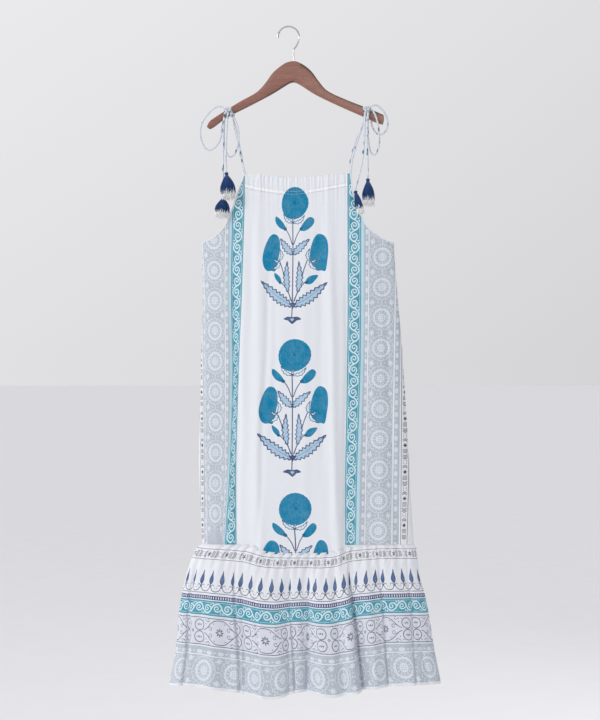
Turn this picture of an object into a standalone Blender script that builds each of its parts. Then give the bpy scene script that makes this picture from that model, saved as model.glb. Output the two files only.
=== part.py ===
"""Printed cotton sundress with tied straps, hanging from a wooden clothes hanger.

Metres, +Z up. The dress faces -Y. The origin is the underside of the hanger hook's crown, where
the hook rests on whatever carries it.
"""
import math

import bmesh
import bpy
from mathutils import Matrix, Vector

# Cloth
WALL = 0.0012
SEAM = 0.0003
MID_Y = -0.012
SEAM_HALF = 0.00034
ROUND_POWER = 4.0
CASING_HEIGHT = 0.008
CASING_WALL = 0.002
BINDING_RADIUS = 0.0015
UNDERARM_EASE = 0.5
UNDERARM_POWER = 6
BINDING_TOP_STEPS = 4
BACK_FRILL_DROP = 0.002

# Sides of the body: height, left edge, right edge, half depth
BODY = (
    (-0.330, -0.1965, 0.2385, 0.0095),
    (-0.492, -0.1965, 0.2385, 0.0125),
    (-0.613, -0.1935, 0.2470, 0.0165),
    (-0.720, -0.1970, 0.2560, 0.0190),
    (-0.822, -0.1985, 0.2630, 0.0205),
    (-0.972, -0.2030, 0.2720, 0.0215),
    (-1.080, -0.1990, 0.2775, 0.0220),
    (-1.186, -0.1935, 0.2850, 0.0225),
)

# Sides of the hem tier: share of the way down, left edge, right edge, half depth
TIER = (
    (0.00, -0.1935, 0.2850, 0.0225),
    (0.03, -0.2075, 0.2890, 0.0240),
    (0.22, -0.2300, 0.2965, 0.0270),
    (0.46, -0.2460, 0.3140, 0.0295),
    (0.75, -0.2545, 0.3290, 0.0320),
    (1.00, -0.2700, 0.3450, 0.0340),
)

# Armhole edge from the neck to the underarm: height, left edge, right edge
ARMHOLE = (
    (-0.3345, -0.0990, 0.1405),
    (-0.3800, -0.1145, 0.1452),
    (-0.4320, -0.1330, 0.1650),
    (-0.4600, -0.1480, 0.1830),
    (-0.4810, -0.1720, 0.2130),
    (-0.4920, -0.1965, 0.2385),
)

# Neckline: share across, top of the frill, top of the casing
NECK = (
    (0.00, -0.3345, -0.3560),
    (0.14, -0.3370, -0.3645),
    (0.35, -0.3425, -0.3725),
    (0.49, -0.3436, -0.3745),
    (0.67, -0.3407, -0.3692),
    (0.84, -0.3368, -0.3612),
    (1.00, -0.3345, -0.3545),
)

# Seam between body and tier: share across, height
TIER_SEAM = (
    (0.00, -1.1705),
    (0.23, -1.1725),
    (0.31, -1.1850),
    (0.46, -1.1885),
    (0.62, -1.1850),
    (0.70, -1.1735),
    (1.00, -1.1715),
)

# Hem: share across, height
HEM = (
    (0.00, -1.4900),
    (0.10, -1.4880),
    (0.24, -1.5000),
    (0.38, -1.5120),
    (0.48, -1.5000),
    (0.60, -1.5080),
    (0.69, -1.5000),
    (0.74, -1.4920),
    (0.87, -1.4850),
    (1.00, -1.4860),
)

# Folds of the body: share at the top, share at the hem, half width, edge softness, and how far
# it stands out at the top, in the middle and at the bottom
FRONT_FOLDS = (
    (0.470, 0.455, 0.215, 0.070, 0.0010, 0.0030, 0.0060),
    (0.165, 0.165, 0.012, 0.035, -0.0010, -0.0065, -0.0030),
    (0.300, 0.275, 0.010, 0.060, 0.0025, 0.0030, 0.0040),
    (0.660, 0.640, 0.010, 0.050, 0.0010, 0.0030, 0.0050),
    (0.850, 0.860, 0.015, 0.070, 0.0000, 0.0030, 0.0040),
    (0.930, 0.920, 0.008, 0.030, 0.0000, -0.0030, -0.0040),
    (0.080, 0.070, 0.010, 0.050, 0.0000, 0.0020, 0.0040),
)
BACK_FOLDS = (
    (0.330, 0.300, 0.090, 0.070, 0.0010, 0.0035, 0.0060),
    (0.640, 0.680, 0.080, 0.070, 0.0010, 0.0030, 0.0055),
    (0.500, 0.490, 0.012, 0.040, -0.0005, -0.0040, -0.0030),
    (0.160, 0.140, 0.012, 0.050, 0.0000, 0.0030, 0.0035),
    (0.860, 0.880, 0.012, 0.050, 0.0000, 0.0030, 0.0040),
)

# Folds of the tier: share at the seam, share at the hem, half width, edge softness, and how far
# it stands out at the seam and at the hem
FRONT_FLARES = (
    (0.115, 0.160, 0.030, 0.060, 0.0030, 0.0100),
    (0.235, 0.278, 0.004, 0.030, -0.0020, -0.0090),
    (0.330, 0.375, 0.055, 0.060, 0.0040, 0.0150),
    (0.430, 0.440, 0.004, 0.022, -0.0015, -0.0060),
    (0.510, 0.500, 0.012, 0.035, -0.0030, -0.0110),
    (0.575, 0.590, 0.040, 0.045, 0.0040, 0.0130),
    (0.665, 0.680, 0.022, 0.035, 0.0050, 0.0150),
    (0.710, 0.722, 0.006, 0.026, -0.0040, -0.0110),
    (0.770, 0.760, 0.018, 0.040, 0.0030, 0.0100),
    (0.840, 0.815, 0.004, 0.024, -0.0020, -0.0070),
    (0.880, 0.900, 0.024, 0.050, 0.0020, 0.0070),
    (0.930, 0.955, 0.004, 0.020, -0.0020, -0.0060),
)
BACK_FLARES = (
    (0.130, 0.140, 0.035, 0.060, 0.0030, 0.0110),
    (0.230, 0.245, 0.005, 0.030, -0.0020, -0.0080),
    (0.350, 0.340, 0.045, 0.060, 0.0040, 0.0130),
    (0.450, 0.450, 0.005, 0.030, -0.0020, -0.0090),
    (0.550, 0.560, 0.045, 0.060, 0.0030, 0.0120),
    (0.660, 0.670, 0.005, 0.030, -0.0020, -0.0100),
    (0.750, 0.760, 0.035, 0.050, 0.0040, 0.0120),
    (0.850, 0.850, 0.005, 0.030, -0.0020, -0.0080),
    (0.920, 0.910, 0.020, 0.040, 0.0020, 0.0060),
)

# Gathers
NECK_GATHERS = 23
FRILL_WAVE_FOOT = 0.0009
FRILL_WAVE_TOP = 0.0019
TIER_GATHERS = 25
TIER_WAVE = 0.0026
TIER_WAVE_LENGTH = 0.11
JOIN_LENGTH = 0.08
COLUMNS_A_WAVE = 4
BODY_COLUMNS = 24
BODY_EDGE_COLUMNS = (0.0, 0.0006, 0.006, 0.020)
BODY_MIDDLE_COLUMNS = (0.045, 0.955)
WAVE_EDGE_COLUMNS = (0.0, 0.0006, 0.006)
WAVE_MIDDLE_COLUMNS = (0.015, 0.985)
GATHER_UNEVENNESS = 0.25
ARM_STEP = 0.003
ARM_ROWS = (0.0, 0.17, 0.34, 0.51, 0.67, 0.80, 0.90, 1.0)
FRONT_ROWS = 7
BACK_ROWS = 4
FRONT_TIER_ROWS = (0.0, 0.14, 0.34, 0.64, 1.0)
BACK_TIER_ROWS = (0.0, 0.16, 0.50, 1.0)

# Hanger
HANGER_X = 0.0115
HANGER_THICK = 0.012
HANGER_ROUND = 0.0022
HANGER_SWEEP = 0.014
HANGER_HALF = 0.200
WIRE_RADIUS = 0.0019
HOOK_RADIUS = 0.0245
HOOK_END_ANGLE = -26.0
SLEEVE_ANGLE = 150.0
SLEEVE_GAP_ANGLE = 1.6
SLEEVE_RADIUS = 0.0029
SHANK_BEND_Z = -0.0535
WOOD_TOP_Z = -0.0769
SHANK_DEPTH = 0.012
BORE_GAP = 0.0004
BORE_SIDES = 12
SLEEVE_END_ANGLE = 182.0
ARC_STEP = 12.0
SLEEVE_ARC_STEP = 8.0
OUTLINE_STEP = 0.0125
# How the hook's wire runs from its ring into the shank: straight on, then two points of the bend
# and the shank's first, as across from the shank and up from the bend's height
RING_EXIT = 0.010
SHANK_BEND = ((0.0012, 0.0040), (0.0, -0.0005), (0.0, -0.010))

# Outline of the wooden body, from the left tip over the top to the right tip: across, height
HANGER_TOP = (
    (-0.1848, -0.2285),
    (-0.1805, -0.2190),
    (-0.1744, -0.2123),
    (-0.1346, -0.1855),
    (-0.1070, -0.1681),
    (-0.0724, -0.1480),
    (-0.0532, -0.1278),
    (-0.0369, -0.1050),
    (-0.0174, -0.0878),
    (-0.0034, -0.0796),
    (0.0115, -0.0769),
    (0.0204, -0.0786),
    (0.0366, -0.0872),
    (0.0529, -0.1015),
    (0.0692, -0.1240),
    (0.0869, -0.1439),
    (0.1285, -0.1647),
    (0.1701, -0.1819),
    (0.2100, -0.1995),
    (0.2155, -0.2045),
    (0.2160, -0.2130),
)
HANGER_UNDER = (
    (0.2133, -0.2235),
    (0.1667, -0.2035),
    (0.0663, -0.1561),
    (0.0200, -0.1275),
    (0.0115, -0.1255),
    (0.0030, -0.1275),
    (-0.0378, -0.1525),
    (-0.0896, -0.1803),
    (-0.1416, -0.2079),
    (-0.1762, -0.2330),
)

# Cords
CORD_RADIUS = 0.0022
CORD_STEP = 0.012
WRAP_TURNS = 1.9
WRAP_PITCH = 0.0056
WRAP_CLEAR = 0.0034
WRAP_POINTS = 16
KNOT_SIZE = (0.0090, 0.0055, 0.0075)

# Where each bow's wrap crosses the wood: side, centre, half height of the wood across its grain,
# and the slope of the arm
WRAPS = (
    ("left", (-0.1330, -0.0073, -0.1940), 0.0084, 30.0),
    ("right", (0.1780, -0.0097, -0.1968), 0.0105, -24.0),
)
KNOTS = (
    ("left", (-0.1375, -0.0246, -0.1915)),
    ("right", (0.1765, -0.0270, -0.1900)),
)

# Routes of the cords, from the garment up or from the knot outwards
ROUTES = (
    ("strap_front_left", (
        (-0.0988, -0.0213, -0.3332), (-0.1056, -0.0195, -0.2990), (-0.1140, -0.0158, -0.2556),
        (-0.1215, -0.0128, -0.2240), (-0.1245, -0.0118, -0.2090),
    )),
    ("strap_back_left", (
        (-0.0988, -0.0027, -0.3332), (-0.1068, -0.0030, -0.2990), (-0.1160, -0.0032, -0.2556),
        (-0.1225, -0.0032, -0.2250), (-0.1250, -0.0032, -0.2090),
    )),
    ("strap_front_right", (
        (0.1405, -0.0213, -0.3336), (0.1440, -0.0205, -0.3031), (0.1561, -0.0170, -0.2601),
        (0.1670, -0.0145, -0.2260), (0.1705, -0.0140, -0.2130),
    )),
    ("strap_back_right", (
        (0.1405, -0.0027, -0.3336), (0.1412, -0.0028, -0.3000), (0.1525, -0.0040, -0.2579),
        (0.1650, -0.0050, -0.2260), (0.1690, -0.0052, -0.2130),
    )),
    ("loop_outer_left", (
        (-0.1456, -0.0248, -0.1864), (-0.1560, -0.0242, -0.1834), (-0.1690, -0.0232, -0.1885),
        (-0.1823, -0.0215, -0.2010), (-0.1942, -0.0180, -0.2174), (-0.1995, -0.0130, -0.2357),
        (-0.1985, -0.0080, -0.2538), (-0.1925, -0.0040, -0.2701), (-0.1803, -0.0010, -0.2796),
        (-0.1683, 0.0015, -0.2730), (-0.1581, 0.0028, -0.2608), (-0.1531, 0.0034, -0.2457),
        (-0.1515, 0.0036, -0.2305), (-0.1480, 0.0036, -0.2150), (-0.1440, 0.0036, -0.2030),
    )),
    ("loop_inner_left", (
        (-0.1437, -0.0224, -0.1984), (-0.1446, -0.0220, -0.2140), (-0.1458, -0.0200, -0.2400),
        (-0.1451, -0.0195, -0.2669), (-0.1391, -0.0196, -0.2890), (-0.1319, -0.0200, -0.2970),
        (-0.1219, -0.0206, -0.2911), (-0.1150, -0.0212, -0.2720), (-0.1126, -0.0214, -0.2457),
        (-0.1180, -0.0220, -0.2200), (-0.1302, -0.0228, -0.1978),
    )),
    ("loop_outer_right", (
        (0.1838, -0.0268, -0.1850), (0.1930, -0.0258, -0.1808), (0.2040, -0.0230, -0.1840),
        (0.2160, -0.0190, -0.1955), (0.2235, -0.0150, -0.2120), (0.2240, -0.0110, -0.2280),
        (0.2180, -0.0070, -0.2400), (0.2074, -0.0040, -0.2447), (0.1965, -0.0005, -0.2380),
        (0.1895, 0.0020, -0.2240), (0.1880, 0.0028, -0.2120),
    )),
    ("loop_inner_right", (
        (0.1862, -0.0258, -0.1912), (0.1930, -0.0245, -0.1985), (0.2005, -0.0240, -0.2180),
        (0.2043, -0.0235, -0.2457), (0.2030, -0.0230, -0.2760), (0.1945, -0.0228, -0.2930),
        (0.1850, -0.0230, -0.2850), (0.1803, -0.0235, -0.2600), (0.1790, -0.0240, -0.2300),
        (0.1800, -0.0248, -0.1990),
    )),
)
TAILS = (
    ("tail_left_long", (
        (-0.1424, -0.0278, -0.1982), (-0.1462, -0.0276, -0.2200), (-0.1472, -0.0262, -0.2550),
        (-0.1472, -0.0256, -0.2905), (-0.1474, -0.0254, -0.3300), (-0.1460, -0.0256, -0.3835),
    )),
    ("tail_left_short", (
        (-0.1360, -0.0280, -0.1993), (-0.1380, -0.0290, -0.2200), (-0.1392, -0.0300, -0.2450),
        (-0.1402, -0.0306, -0.2750), (-0.1408, -0.0310, -0.3031), (-0.1398, -0.0312, -0.3320),
    )),
    ("tail_right_long", (
        (0.1724, -0.0290, -0.1974), (0.1716, -0.0298, -0.2200), (0.1712, -0.0300, -0.2480),
        (0.1690, -0.0302, -0.2800), (0.1645, -0.0304, -0.3165), (0.1570, -0.0308, -0.3468),
        (0.1500, -0.0312, -0.3730),
    )),
    ("tail_right_short", (
        (0.1790, -0.0300, -0.1985), (0.1776, -0.0310, -0.2200), (0.1768, -0.0316, -0.2480),
        (0.1772, -0.0318, -0.2800), (0.1782, -0.0318, -0.3110), (0.1784, -0.0316, -0.3460),
    )),
)

# Tassels: name, top of the head, tip of the axis, flare at the bottom
TASSELS = (
    ("tassel_left_short", (-0.1396, -0.0318, -0.3330), (-0.1345, -0.0400, -0.3830), 0.0165),
    ("tassel_left_long", (-0.1460, -0.0258, -0.3843), (-0.1492, -0.0285, -0.4235), 0.0160),
    ("tassel_right_short", (0.1785, -0.0316, -0.3468), (0.1800, -0.0325, -0.3960), 0.0135),
    ("tassel_right_long", (0.1501, -0.0313, -0.3744), (0.1600, -0.0355, -0.4150), 0.0080),
)

# Shape of a brush: head radius, neck radius, head length, strands round, rings of strands, and the
# share of the neck that the rings leave bare in the middle
TASSEL_BRUSH = (0.0044, 0.0040, 0.010, 11, 2, 0.45)
TUFT_BRUSH = (0.0014, 0.0014, 0.002, 6, 1, 0.30)
TUFT_LENGTH = 0.012
TUFT_FLARE = 0.30
TASSEL_FLAT = 0.45
HEAD_PROFILE = ((0.35, 0.0), (1.0, 0.25), (1.0, 0.55))
STRAND_GAP = 0.00012
STRAND_TAPER = 0.75
STRAND_UNEVENNESS = 0.05


def clear_scene():
    for existing in list(bpy.data.objects):
        bpy.data.objects.remove(existing, do_unlink=True)


def make_collection(name):
    collection = bpy.data.collections.new(name)
    bpy.context.scene.collection.children.link(collection)
    return collection


def linear(channel):
    return channel / 12.92 if channel <= 0.04045 else ((channel + 0.055) / 1.055) ** 2.4


def make_material(name, colour, roughness, metallic=0.0):
    made = bpy.data.materials.new(name)
    made.use_nodes = True
    shader = made.node_tree.nodes["Principled BSDF"]
    channels = [linear(int(colour[i:i + 2], 16) / 255) for i in (1, 3, 5)]
    shader.inputs["Base Color"].default_value = (*channels, 1.0)
    shader.inputs["Roughness"].default_value = roughness
    shader.inputs["Metallic"].default_value = metallic
    return made


def read_table(table, where, column):
    """A smooth curve through one column of a table whose first column runs one way."""
    rows = table if table[0][0] < table[-1][0] else table[::-1]
    where = min(max(where, rows[0][0]), rows[-1][0])
    i = 0
    while i < len(rows) - 2 and where > rows[i + 1][0]:
        i += 1
    slopes = []
    for k in (i, i + 1):
        before, after = rows[max(k - 1, 0)], rows[min(k + 1, len(rows) - 1)]
        slopes.append((after[column] - before[column]) / (after[0] - before[0]))
    span = rows[i + 1][0] - rows[i][0]
    t = (where - rows[i][0]) / span
    return (
        rows[i][column] * (1 + 2 * t) * (1 - t) ** 2
        + slopes[0] * span * t * (1 - t) ** 2
        + rows[i + 1][column] * t * t * (3 - 2 * t)
        + slopes[1] * span * t * t * (t - 1)
    )


def mix(a, b, t):
    return a + (b - a) * t


def ease(t):
    t = min(max(t, 0.0), 1.0)
    return t * t * (3 - 2 * t)


def bulge(share):
    """How full the flattened tube is: none at the side seams, all of it in the middle."""
    return max(0.0, 1 - abs(2 * share - 1) ** ROUND_POWER) ** 0.5


def ridge(share, centre, half_width, softness):
    return ease((half_width - abs(share - centre)) / softness + 0.5)


def smooth_route(points, step):
    """Points at an even spacing on a smooth curve through the given ones."""
    given = [Vector(p) for p in points]
    ends = [2 * given[0] - given[1]] + given + [2 * given[-1] - given[-2]]
    fine = []
    for i in range(1, len(ends) - 2):
        a, b, c, d = ends[i - 1:i + 3]
        for k in range(12):
            t = k / 12
            fine.append(0.5 * (
                2 * b + (c - a) * t + (2 * a - 5 * b + 4 * c - d) * t * t
                + (3 * b - a - 3 * c + d) * t ** 3
            ))
    fine.append(given[-1])
    lengths = [0.0]
    for a, b in zip(fine, fine[1:]):
        lengths.append(lengths[-1] + (b - a).length)
    count = max(3, round(lengths[-1] / step))
    even, i = [], 0
    for k in range(count + 1):
        target = lengths[-1] * k / count
        while i < len(fine) - 2 and lengths[i + 1] < target:
            i += 1
        even.append(fine[i].lerp(fine[i + 1], (target - lengths[i]) / (lengths[i + 1] - lengths[i])))
    return even


def armhole_points(side):
    column = 1 if side == "left" else 2
    return smooth_route([(row[column], 0.0, row[0]) for row in ARMHOLE], ARM_STEP)


def armhole_edge(side, clearance):
    """The armhole's edge, moved into the cloth, as pairs of across and height."""
    path = armhole_points(side)
    inward = 1 if side == "left" else -1
    moved = []
    for i, point in enumerate(path):
        along = (path[min(i + 1, len(path) - 1)] - path[max(i - 1, 0)]).normalized()
        across = Vector((-along.z, 0.0, along.x)) * inward
        inset = clearance * (1 + UNDERARM_EASE * (i / (len(path) - 1)) ** UNDERARM_POWER)
        moved.append((point.x + across.x * inset, point.z + across.z * inset))
    moved[-1] = (path[-1].x, moved[-1][1])
    return moved


BOUND_EDGE = {side: armhole_edge(side, 0.0) for side in ("left", "right")}
CLOTH_EDGE = {side: armhole_edge(side, BINDING_RADIUS + 2 * SEAM) for side in ("left", "right")}


def edge_across(z, side):
    """Place across of the cloth's armhole edge at a height."""
    points = sorted((height, across) for across, height in CLOTH_EDGE[side])
    z = min(max(z, points[0][0]), points[-1][0])
    for (za, xa), (zb, xb) in zip(points, points[1:]):
        if za <= z <= zb:
            return mix(xa, xb, (z - za) / max(zb - za, 1e-9))
    return points[-1][1]


def casing_foot(q):
    return read_table(NECK, q, 2) - CASING_HEIGHT


def arm_point(side, t, edge):
    """The edge's point at a share of the way from the casing's foot to the underarm."""
    cloth = CLOTH_EDGE[side]
    top = casing_foot(0.0 if side == "left" else 1.0) - SEAM
    i = max(k for k, (_, z) in enumerate(cloth) if z >= top)
    start = i + (cloth[i][1] - top) / (cloth[i][1] - cloth[i + 1][1])
    place = min(mix(start, len(cloth) - 1, t), len(cloth) - 1.000001)
    k = int(place)
    (xa, za), (xb, zb) = edge[side][k], edge[side][k + 1]
    return mix(xa, xb, place - k), mix(za, zb, place - k)


def body_side(z):
    return read_table(BODY, z, 1), read_table(BODY, z, 2), read_table(BODY, z, 3)


def fold_height(folds, share, down):
    """How far the body's folds stand out at a share across and a share of the way down."""
    total = 0.0
    for top, hem, half_width, softness, h_top, h_mid, h_low in folds:
        centre = mix(top, hem, down)
        height = mix(h_top, h_mid, ease(2 * down)) if down < 0.5 else mix(h_mid, h_low, ease(2 * down - 1))
        total += height * ridge(share, centre, half_width, softness)
    return total


def body_point(share, z, folds, facing):
    left, right, depth = body_side(z)
    down = (BODY[0][0] - z) / (BODY[0][0] - BODY[-1][0])
    out = bulge(share) * (depth + fold_height(folds, share, down))
    return Vector((mix(left, right, share), MID_Y + facing * (SEAM_HALF + out), z))


def body_share(x, z):
    left, right, _ = body_side(z)
    return (x - left) / (right - left)


def spread_columns(edge, middle, count):
    """Shares across: the given ones at each edge, and evenly spaced ones between."""
    inner = [mix(*middle, i / count) for i in range(count + 1)]
    return list(edge) + inner + [1 - place for place in reversed(edge)]


def body_columns():
    """Shares across a panel, close together where it rounds into the side seams."""
    return spread_columns(BODY_EDGE_COLUMNS, BODY_MIDDLE_COLUMNS, BODY_COLUMNS)


SEAM_LINE = [(share, read_table(TIER_SEAM, share, 1)) for share in body_columns()]


def seam_height(share):
    """Height of the seam between body and tier, straight from column to column."""
    for (sa, za), (sb, zb) in zip(SEAM_LINE, SEAM_LINE[1:]):
        if sa <= share <= sb:
            return mix(za, zb, (share - sa) / (sb - sa))
    return SEAM_LINE[-1][1]


def wave_columns(waves):
    """Shares across a gathered strip, with a few columns to each wave."""
    return spread_columns(WAVE_EDGE_COLUMNS, WAVE_MIDDLE_COLUMNS, waves * COLUMNS_A_WAVE)


def wave(share, waves):
    """Gathers of uneven height, from -1 to 1."""
    place = share * waves
    size = 1 - GATHER_UNEVENNESS * (1 - math.sin(5.1 * place + 1.7 * math.sin(0.9 * place)))
    return size * math.sin(2 * math.pi * place)


def add_sheet(name, rows, thickness, collection, material):
    """A wall of cloth about a surface that is given by rows of points."""
    width = len(rows[0])
    points = [tuple(p) for row in rows for p in row]
    faces = [
        (r * width + c, r * width + c + 1, (r + 1) * width + c + 1, (r + 1) * width + c)
        for r in range(len(rows) - 1)
        for c in range(width - 1)
    ]
    mesh = bpy.data.meshes.new(name)
    mesh.from_pydata(points, [], faces)
    mesh.shade_smooth()
    made = bpy.data.objects.new(name, mesh)
    collection.objects.link(made)
    wall = made.modifiers.new("Wall", "SOLIDIFY")
    wall.thickness = thickness
    wall.offset = 0.0
    mesh.materials.append(material)
    return made


def armhole_row(t, folds, facing):
    """A row of the body between its armholes, a share of the way from casing to underarm."""
    ends = {}
    for side in ("left", "right"):
        top, here, under = (arm_point(side, share, CLOTH_EDGE) for share in (0.0, t, 1.0))
        ends[side] = here[0], (top[1] - here[1]) / (top[1] - under[1]), under[1]
    (xl, dl, ul), (xr, dr, ur) = ends["left"], ends["right"]
    row = []
    for q in body_columns():
        z = mix(casing_foot(q) - SEAM, mix(ul, ur, q), mix(dl, dr, q))
        x = mix(xl, xr, q)
        row.append(body_point(body_share(x, z), z, folds, facing))
    return row


def add_body(name, folds, facing, row_count, collection, material):
    rows = [armhole_row(t, folds, facing) for t in ARM_ROWS]
    under = [point.z for point in rows[-1]]
    for r in range(1, row_count + 1):
        row = []
        for share, top in zip(body_columns(), under):
            z = mix(top, seam_height(share) + SEAM, r / row_count)
            row.append(body_point(share, z, folds, facing))
        rows.append(row)
    return add_sheet(name, rows, WALL, collection, material)


def tier_point(share, z, folds, flares, facing):
    top, hem = seam_height(share), read_table(HEM, share, 1)
    down = min(max((top - z) / (top - hem), 0.0), 1.0)
    left, right, depth = (read_table(TIER, down, column) for column in (1, 2, 3))
    flare = sum(
        mix(h_top, h_hem, ease(down)) * ridge(share, mix(s_top, s_hem, down), half_width, softness)
        for s_top, s_hem, half_width, softness, h_top, h_hem in flares
    )
    joined = ease((top - z) / JOIN_LENGTH)
    body = body_side(top)[2] + fold_height(folds, share, 1.0)
    gathers = TIER_WAVE * wave(share, TIER_GATHERS) * (1 - ease((top - z) / TIER_WAVE_LENGTH))
    out = bulge(share) * (mix(body, depth + flare, joined) + gathers)
    return Vector((mix(left, right, share), MID_Y + facing * (SEAM_HALF + out), z))


def add_tier(name, folds, flares, facing, row_shares, collection, material):
    rows = []
    for t in row_shares:
        row = []
        for share in wave_columns(TIER_GATHERS):
            z = mix(seam_height(share) - SEAM, read_table(HEM, share, 1), t)
            row.append(tier_point(share, z, folds, flares, facing))
        rows.append(row)
    return add_sheet(name, rows, WALL, collection, material)


def neck_row(heights, amplitude, folds, facing, shares):
    """One row of points round the neck, at a height for each share across."""
    row = []
    left, right = edge_across(heights(0.0), "left"), edge_across(heights(1.0), "right")
    for q in shares:
        z, x = heights(q), mix(left, right, q)
        point = body_point(body_share(x, z), z, folds, facing)
        point.y += facing * amplitude * wave(q, NECK_GATHERS)
        row.append(point)
    return row


def add_neck(side, folds, facing, collection, cloth):
    drop = 0.0 if facing < 0 else BACK_FRILL_DROP
    count = NECK_GATHERS * COLUMNS_A_WAVE
    fine = [i / count for i in range(count + 1)]
    plain = body_columns()
    frill = [
        neck_row(lambda q: read_table(NECK, q, 1) - drop, FRILL_WAVE_TOP, folds, facing, fine),
        neck_row(lambda q: read_table(NECK, q, 2) + SEAM, FRILL_WAVE_FOOT, folds, facing, fine),
    ]
    casing = [
        neck_row(lambda q: read_table(NECK, q, 2), 0.0, folds, facing, plain),
        neck_row(lambda q: read_table(NECK, q, 2) - CASING_HEIGHT, 0.0, folds, facing, plain),
    ]
    add_sheet("neck_frill_" + side, frill, WALL, collection, cloth)
    add_sheet("neck_casing_" + side, casing, CASING_WALL, collection, cloth)


def add_tube(name, points, radius, collection, material, sides=2):
    curve = bpy.data.curves.new(name, "CURVE")
    curve.dimensions = "3D"
    curve.bevel_depth = radius
    curve.bevel_resolution = sides
    curve.use_fill_caps = True
    spline = curve.splines.new("POLY")
    spline.points.add(len(points) - 1)
    for target, point in zip(spline.points, points):
        target.co = (*point, 1.0)
    curve.materials.append(material)
    made = bpy.data.objects.new(name, curve)
    collection.objects.link(made)
    return made


def add_binding(side, collection, material):
    """Bias binding round an armhole: down the front, under the arm and up the back."""
    edge = [BOUND_EDGE[side][0], BOUND_EDGE[side][BINDING_TOP_STEPS]]
    edge += [arm_point(side, t, BOUND_EDGE) for t in ARM_ROWS[:-1]]
    front = [body_point(body_share(x, z), z, FRONT_FOLDS, -1) for x, z in edge]
    back = [body_point(body_share(x, z), z, BACK_FOLDS, 1) for x, z in edge]
    x, z = BOUND_EDGE[side][-1]
    path = front + [Vector((x, MID_Y, z))] + back[::-1]
    add_tube("armhole_binding_" + side, path, BINDING_RADIUS, collection, material)


def add_wrap(side, centre, half_height, slope, collection, material):
    """Cord wound round the hanger's arm."""
    tall = half_height + WRAP_CLEAR
    deep = HANGER_THICK / 2 + WRAP_CLEAR
    axis = Vector((math.cos(math.radians(slope)), 0.0, math.sin(math.radians(slope))))
    upright = Vector((-axis.z, 0.0, axis.x))
    count = round(WRAP_TURNS * WRAP_POINTS)
    points = []
    for i in range(count + 1):
        turn = i / WRAP_POINTS
        angle = 2 * math.pi * turn
        rise = math.copysign(abs(math.sin(angle)) ** 0.5, math.sin(angle)) * tall
        out = math.copysign(abs(math.cos(angle)) ** 0.5, math.cos(angle)) * deep
        along = (turn - WRAP_TURNS / 2) * WRAP_PITCH
        points.append(Vector(centre) + axis * along + upright * rise + Vector((0.0, out, 0.0)))
    add_tube("bow_wrap_" + side, points, CORD_RADIUS, collection, material)


def add_knot(side, centre, collection, material):
    mesh = bpy.data.meshes.new("bow_knot_" + side)
    shape = bmesh.new()
    bmesh.ops.create_uvsphere(shape, u_segments=10, v_segments=7, radius=1.0)
    bmesh.ops.scale(shape, vec=KNOT_SIZE, verts=shape.verts)
    bmesh.ops.translate(shape, vec=centre, verts=shape.verts)
    shape.to_mesh(mesh)
    shape.free()
    mesh.shade_smooth()
    mesh.materials.append(material)
    collection.objects.link(bpy.data.objects.new("bow_knot_" + side, mesh))


def strand_roots(shape, rim, rings, bare):
    """Rings of faces on a head's lower side, from its rim inwards, each the root of a strand."""
    roots = []
    sides = len(rim)
    outer = rim
    for ring in range(rings):
        size = mix(1.0, bare, (ring + 1) / rings)
        inner = [shape.verts.new((vert.co.x * size, vert.co.y * size, vert.co.z)) for vert in rim]
        for i in range(sides):
            k = (i + 1) % sides
            roots.append(shape.faces.new((outer[k], outer[i], inner[i], inner[k])))
        outer = inner
    shape.faces.new(outer[::-1])
    return roots


def brush(name, top, tip, flare, brush_shape, collection, material):
    """A tied head with strands that spread from its lower face, all one body."""
    head, neck, head_length, sides, rings, bare = brush_shape
    axis = (tip - top).normalized()
    length = (tip - top).length
    shape = bmesh.new()
    circles = []
    for radius, down in HEAD_PROFILE + ((neck / head, 1.0),):
        circle = []
        for i in range(sides):
            angle = 2 * math.pi * i / sides
            across = head * radius * math.cos(angle), head * radius * math.sin(angle)
            circle.append(shape.verts.new((*across, -head_length * down)))
        circles.append(circle)
    shape.faces.new(circles[0])
    for upper, lower in zip(circles, circles[1:]):
        for i in range(sides):
            k = (i + 1) % sides
            shape.faces.new((upper[k], upper[i], lower[i], lower[k]))
    roots = strand_roots(shape, circles[-1], rings, bare)
    bmesh.ops.inset_individual(shape, faces=roots, thickness=STRAND_GAP, use_even_offset=True)
    ends = bmesh.ops.extrude_discrete_faces(shape, faces=roots)["faces"]
    for number, face in enumerate(ends):
        middle = face.calc_center_median()
        out = Vector((middle.x, middle.y, 0.0))
        uneven = 1.0 + STRAND_UNEVENNESS * math.sin(2.3 * number)
        goal = out * (flare / neck) - Vector((0.0, 0.0, length * uneven))
        goal.y *= TASSEL_FLAT
        for vert in face.verts:
            vert.co = goal + (vert.co - middle) * STRAND_TAPER
    bmesh.ops.recalc_face_normals(shape, faces=shape.faces)
    turn = Vector((0.0, 0.0, -1.0)).rotation_difference(axis).to_matrix().to_4x4()
    bmesh.ops.transform(shape, matrix=Matrix.Translation(top) @ turn, verts=shape.verts)
    mesh = bpy.data.meshes.new(name)
    shape.to_mesh(mesh)
    shape.free()
    mesh.materials.append(material)
    collection.objects.link(bpy.data.objects.new(name, mesh))


def add_tassel(name, top, tip, flare, collection, navy, white):
    top, tip = Vector(top), Vector(tip)
    axis = (tip - top).normalized()
    brush(name, top, tip, flare, TASSEL_BRUSH, collection, navy)
    tuft_top = top + axis * (TASSEL_BRUSH[2] + 2 * SEAM)
    tuft_tip = tip + axis * TUFT_LENGTH
    brush(name + "_tuft", tuft_top, tuft_tip, TUFT_FLARE * flare, TUFT_BRUSH, collection, white)


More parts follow.
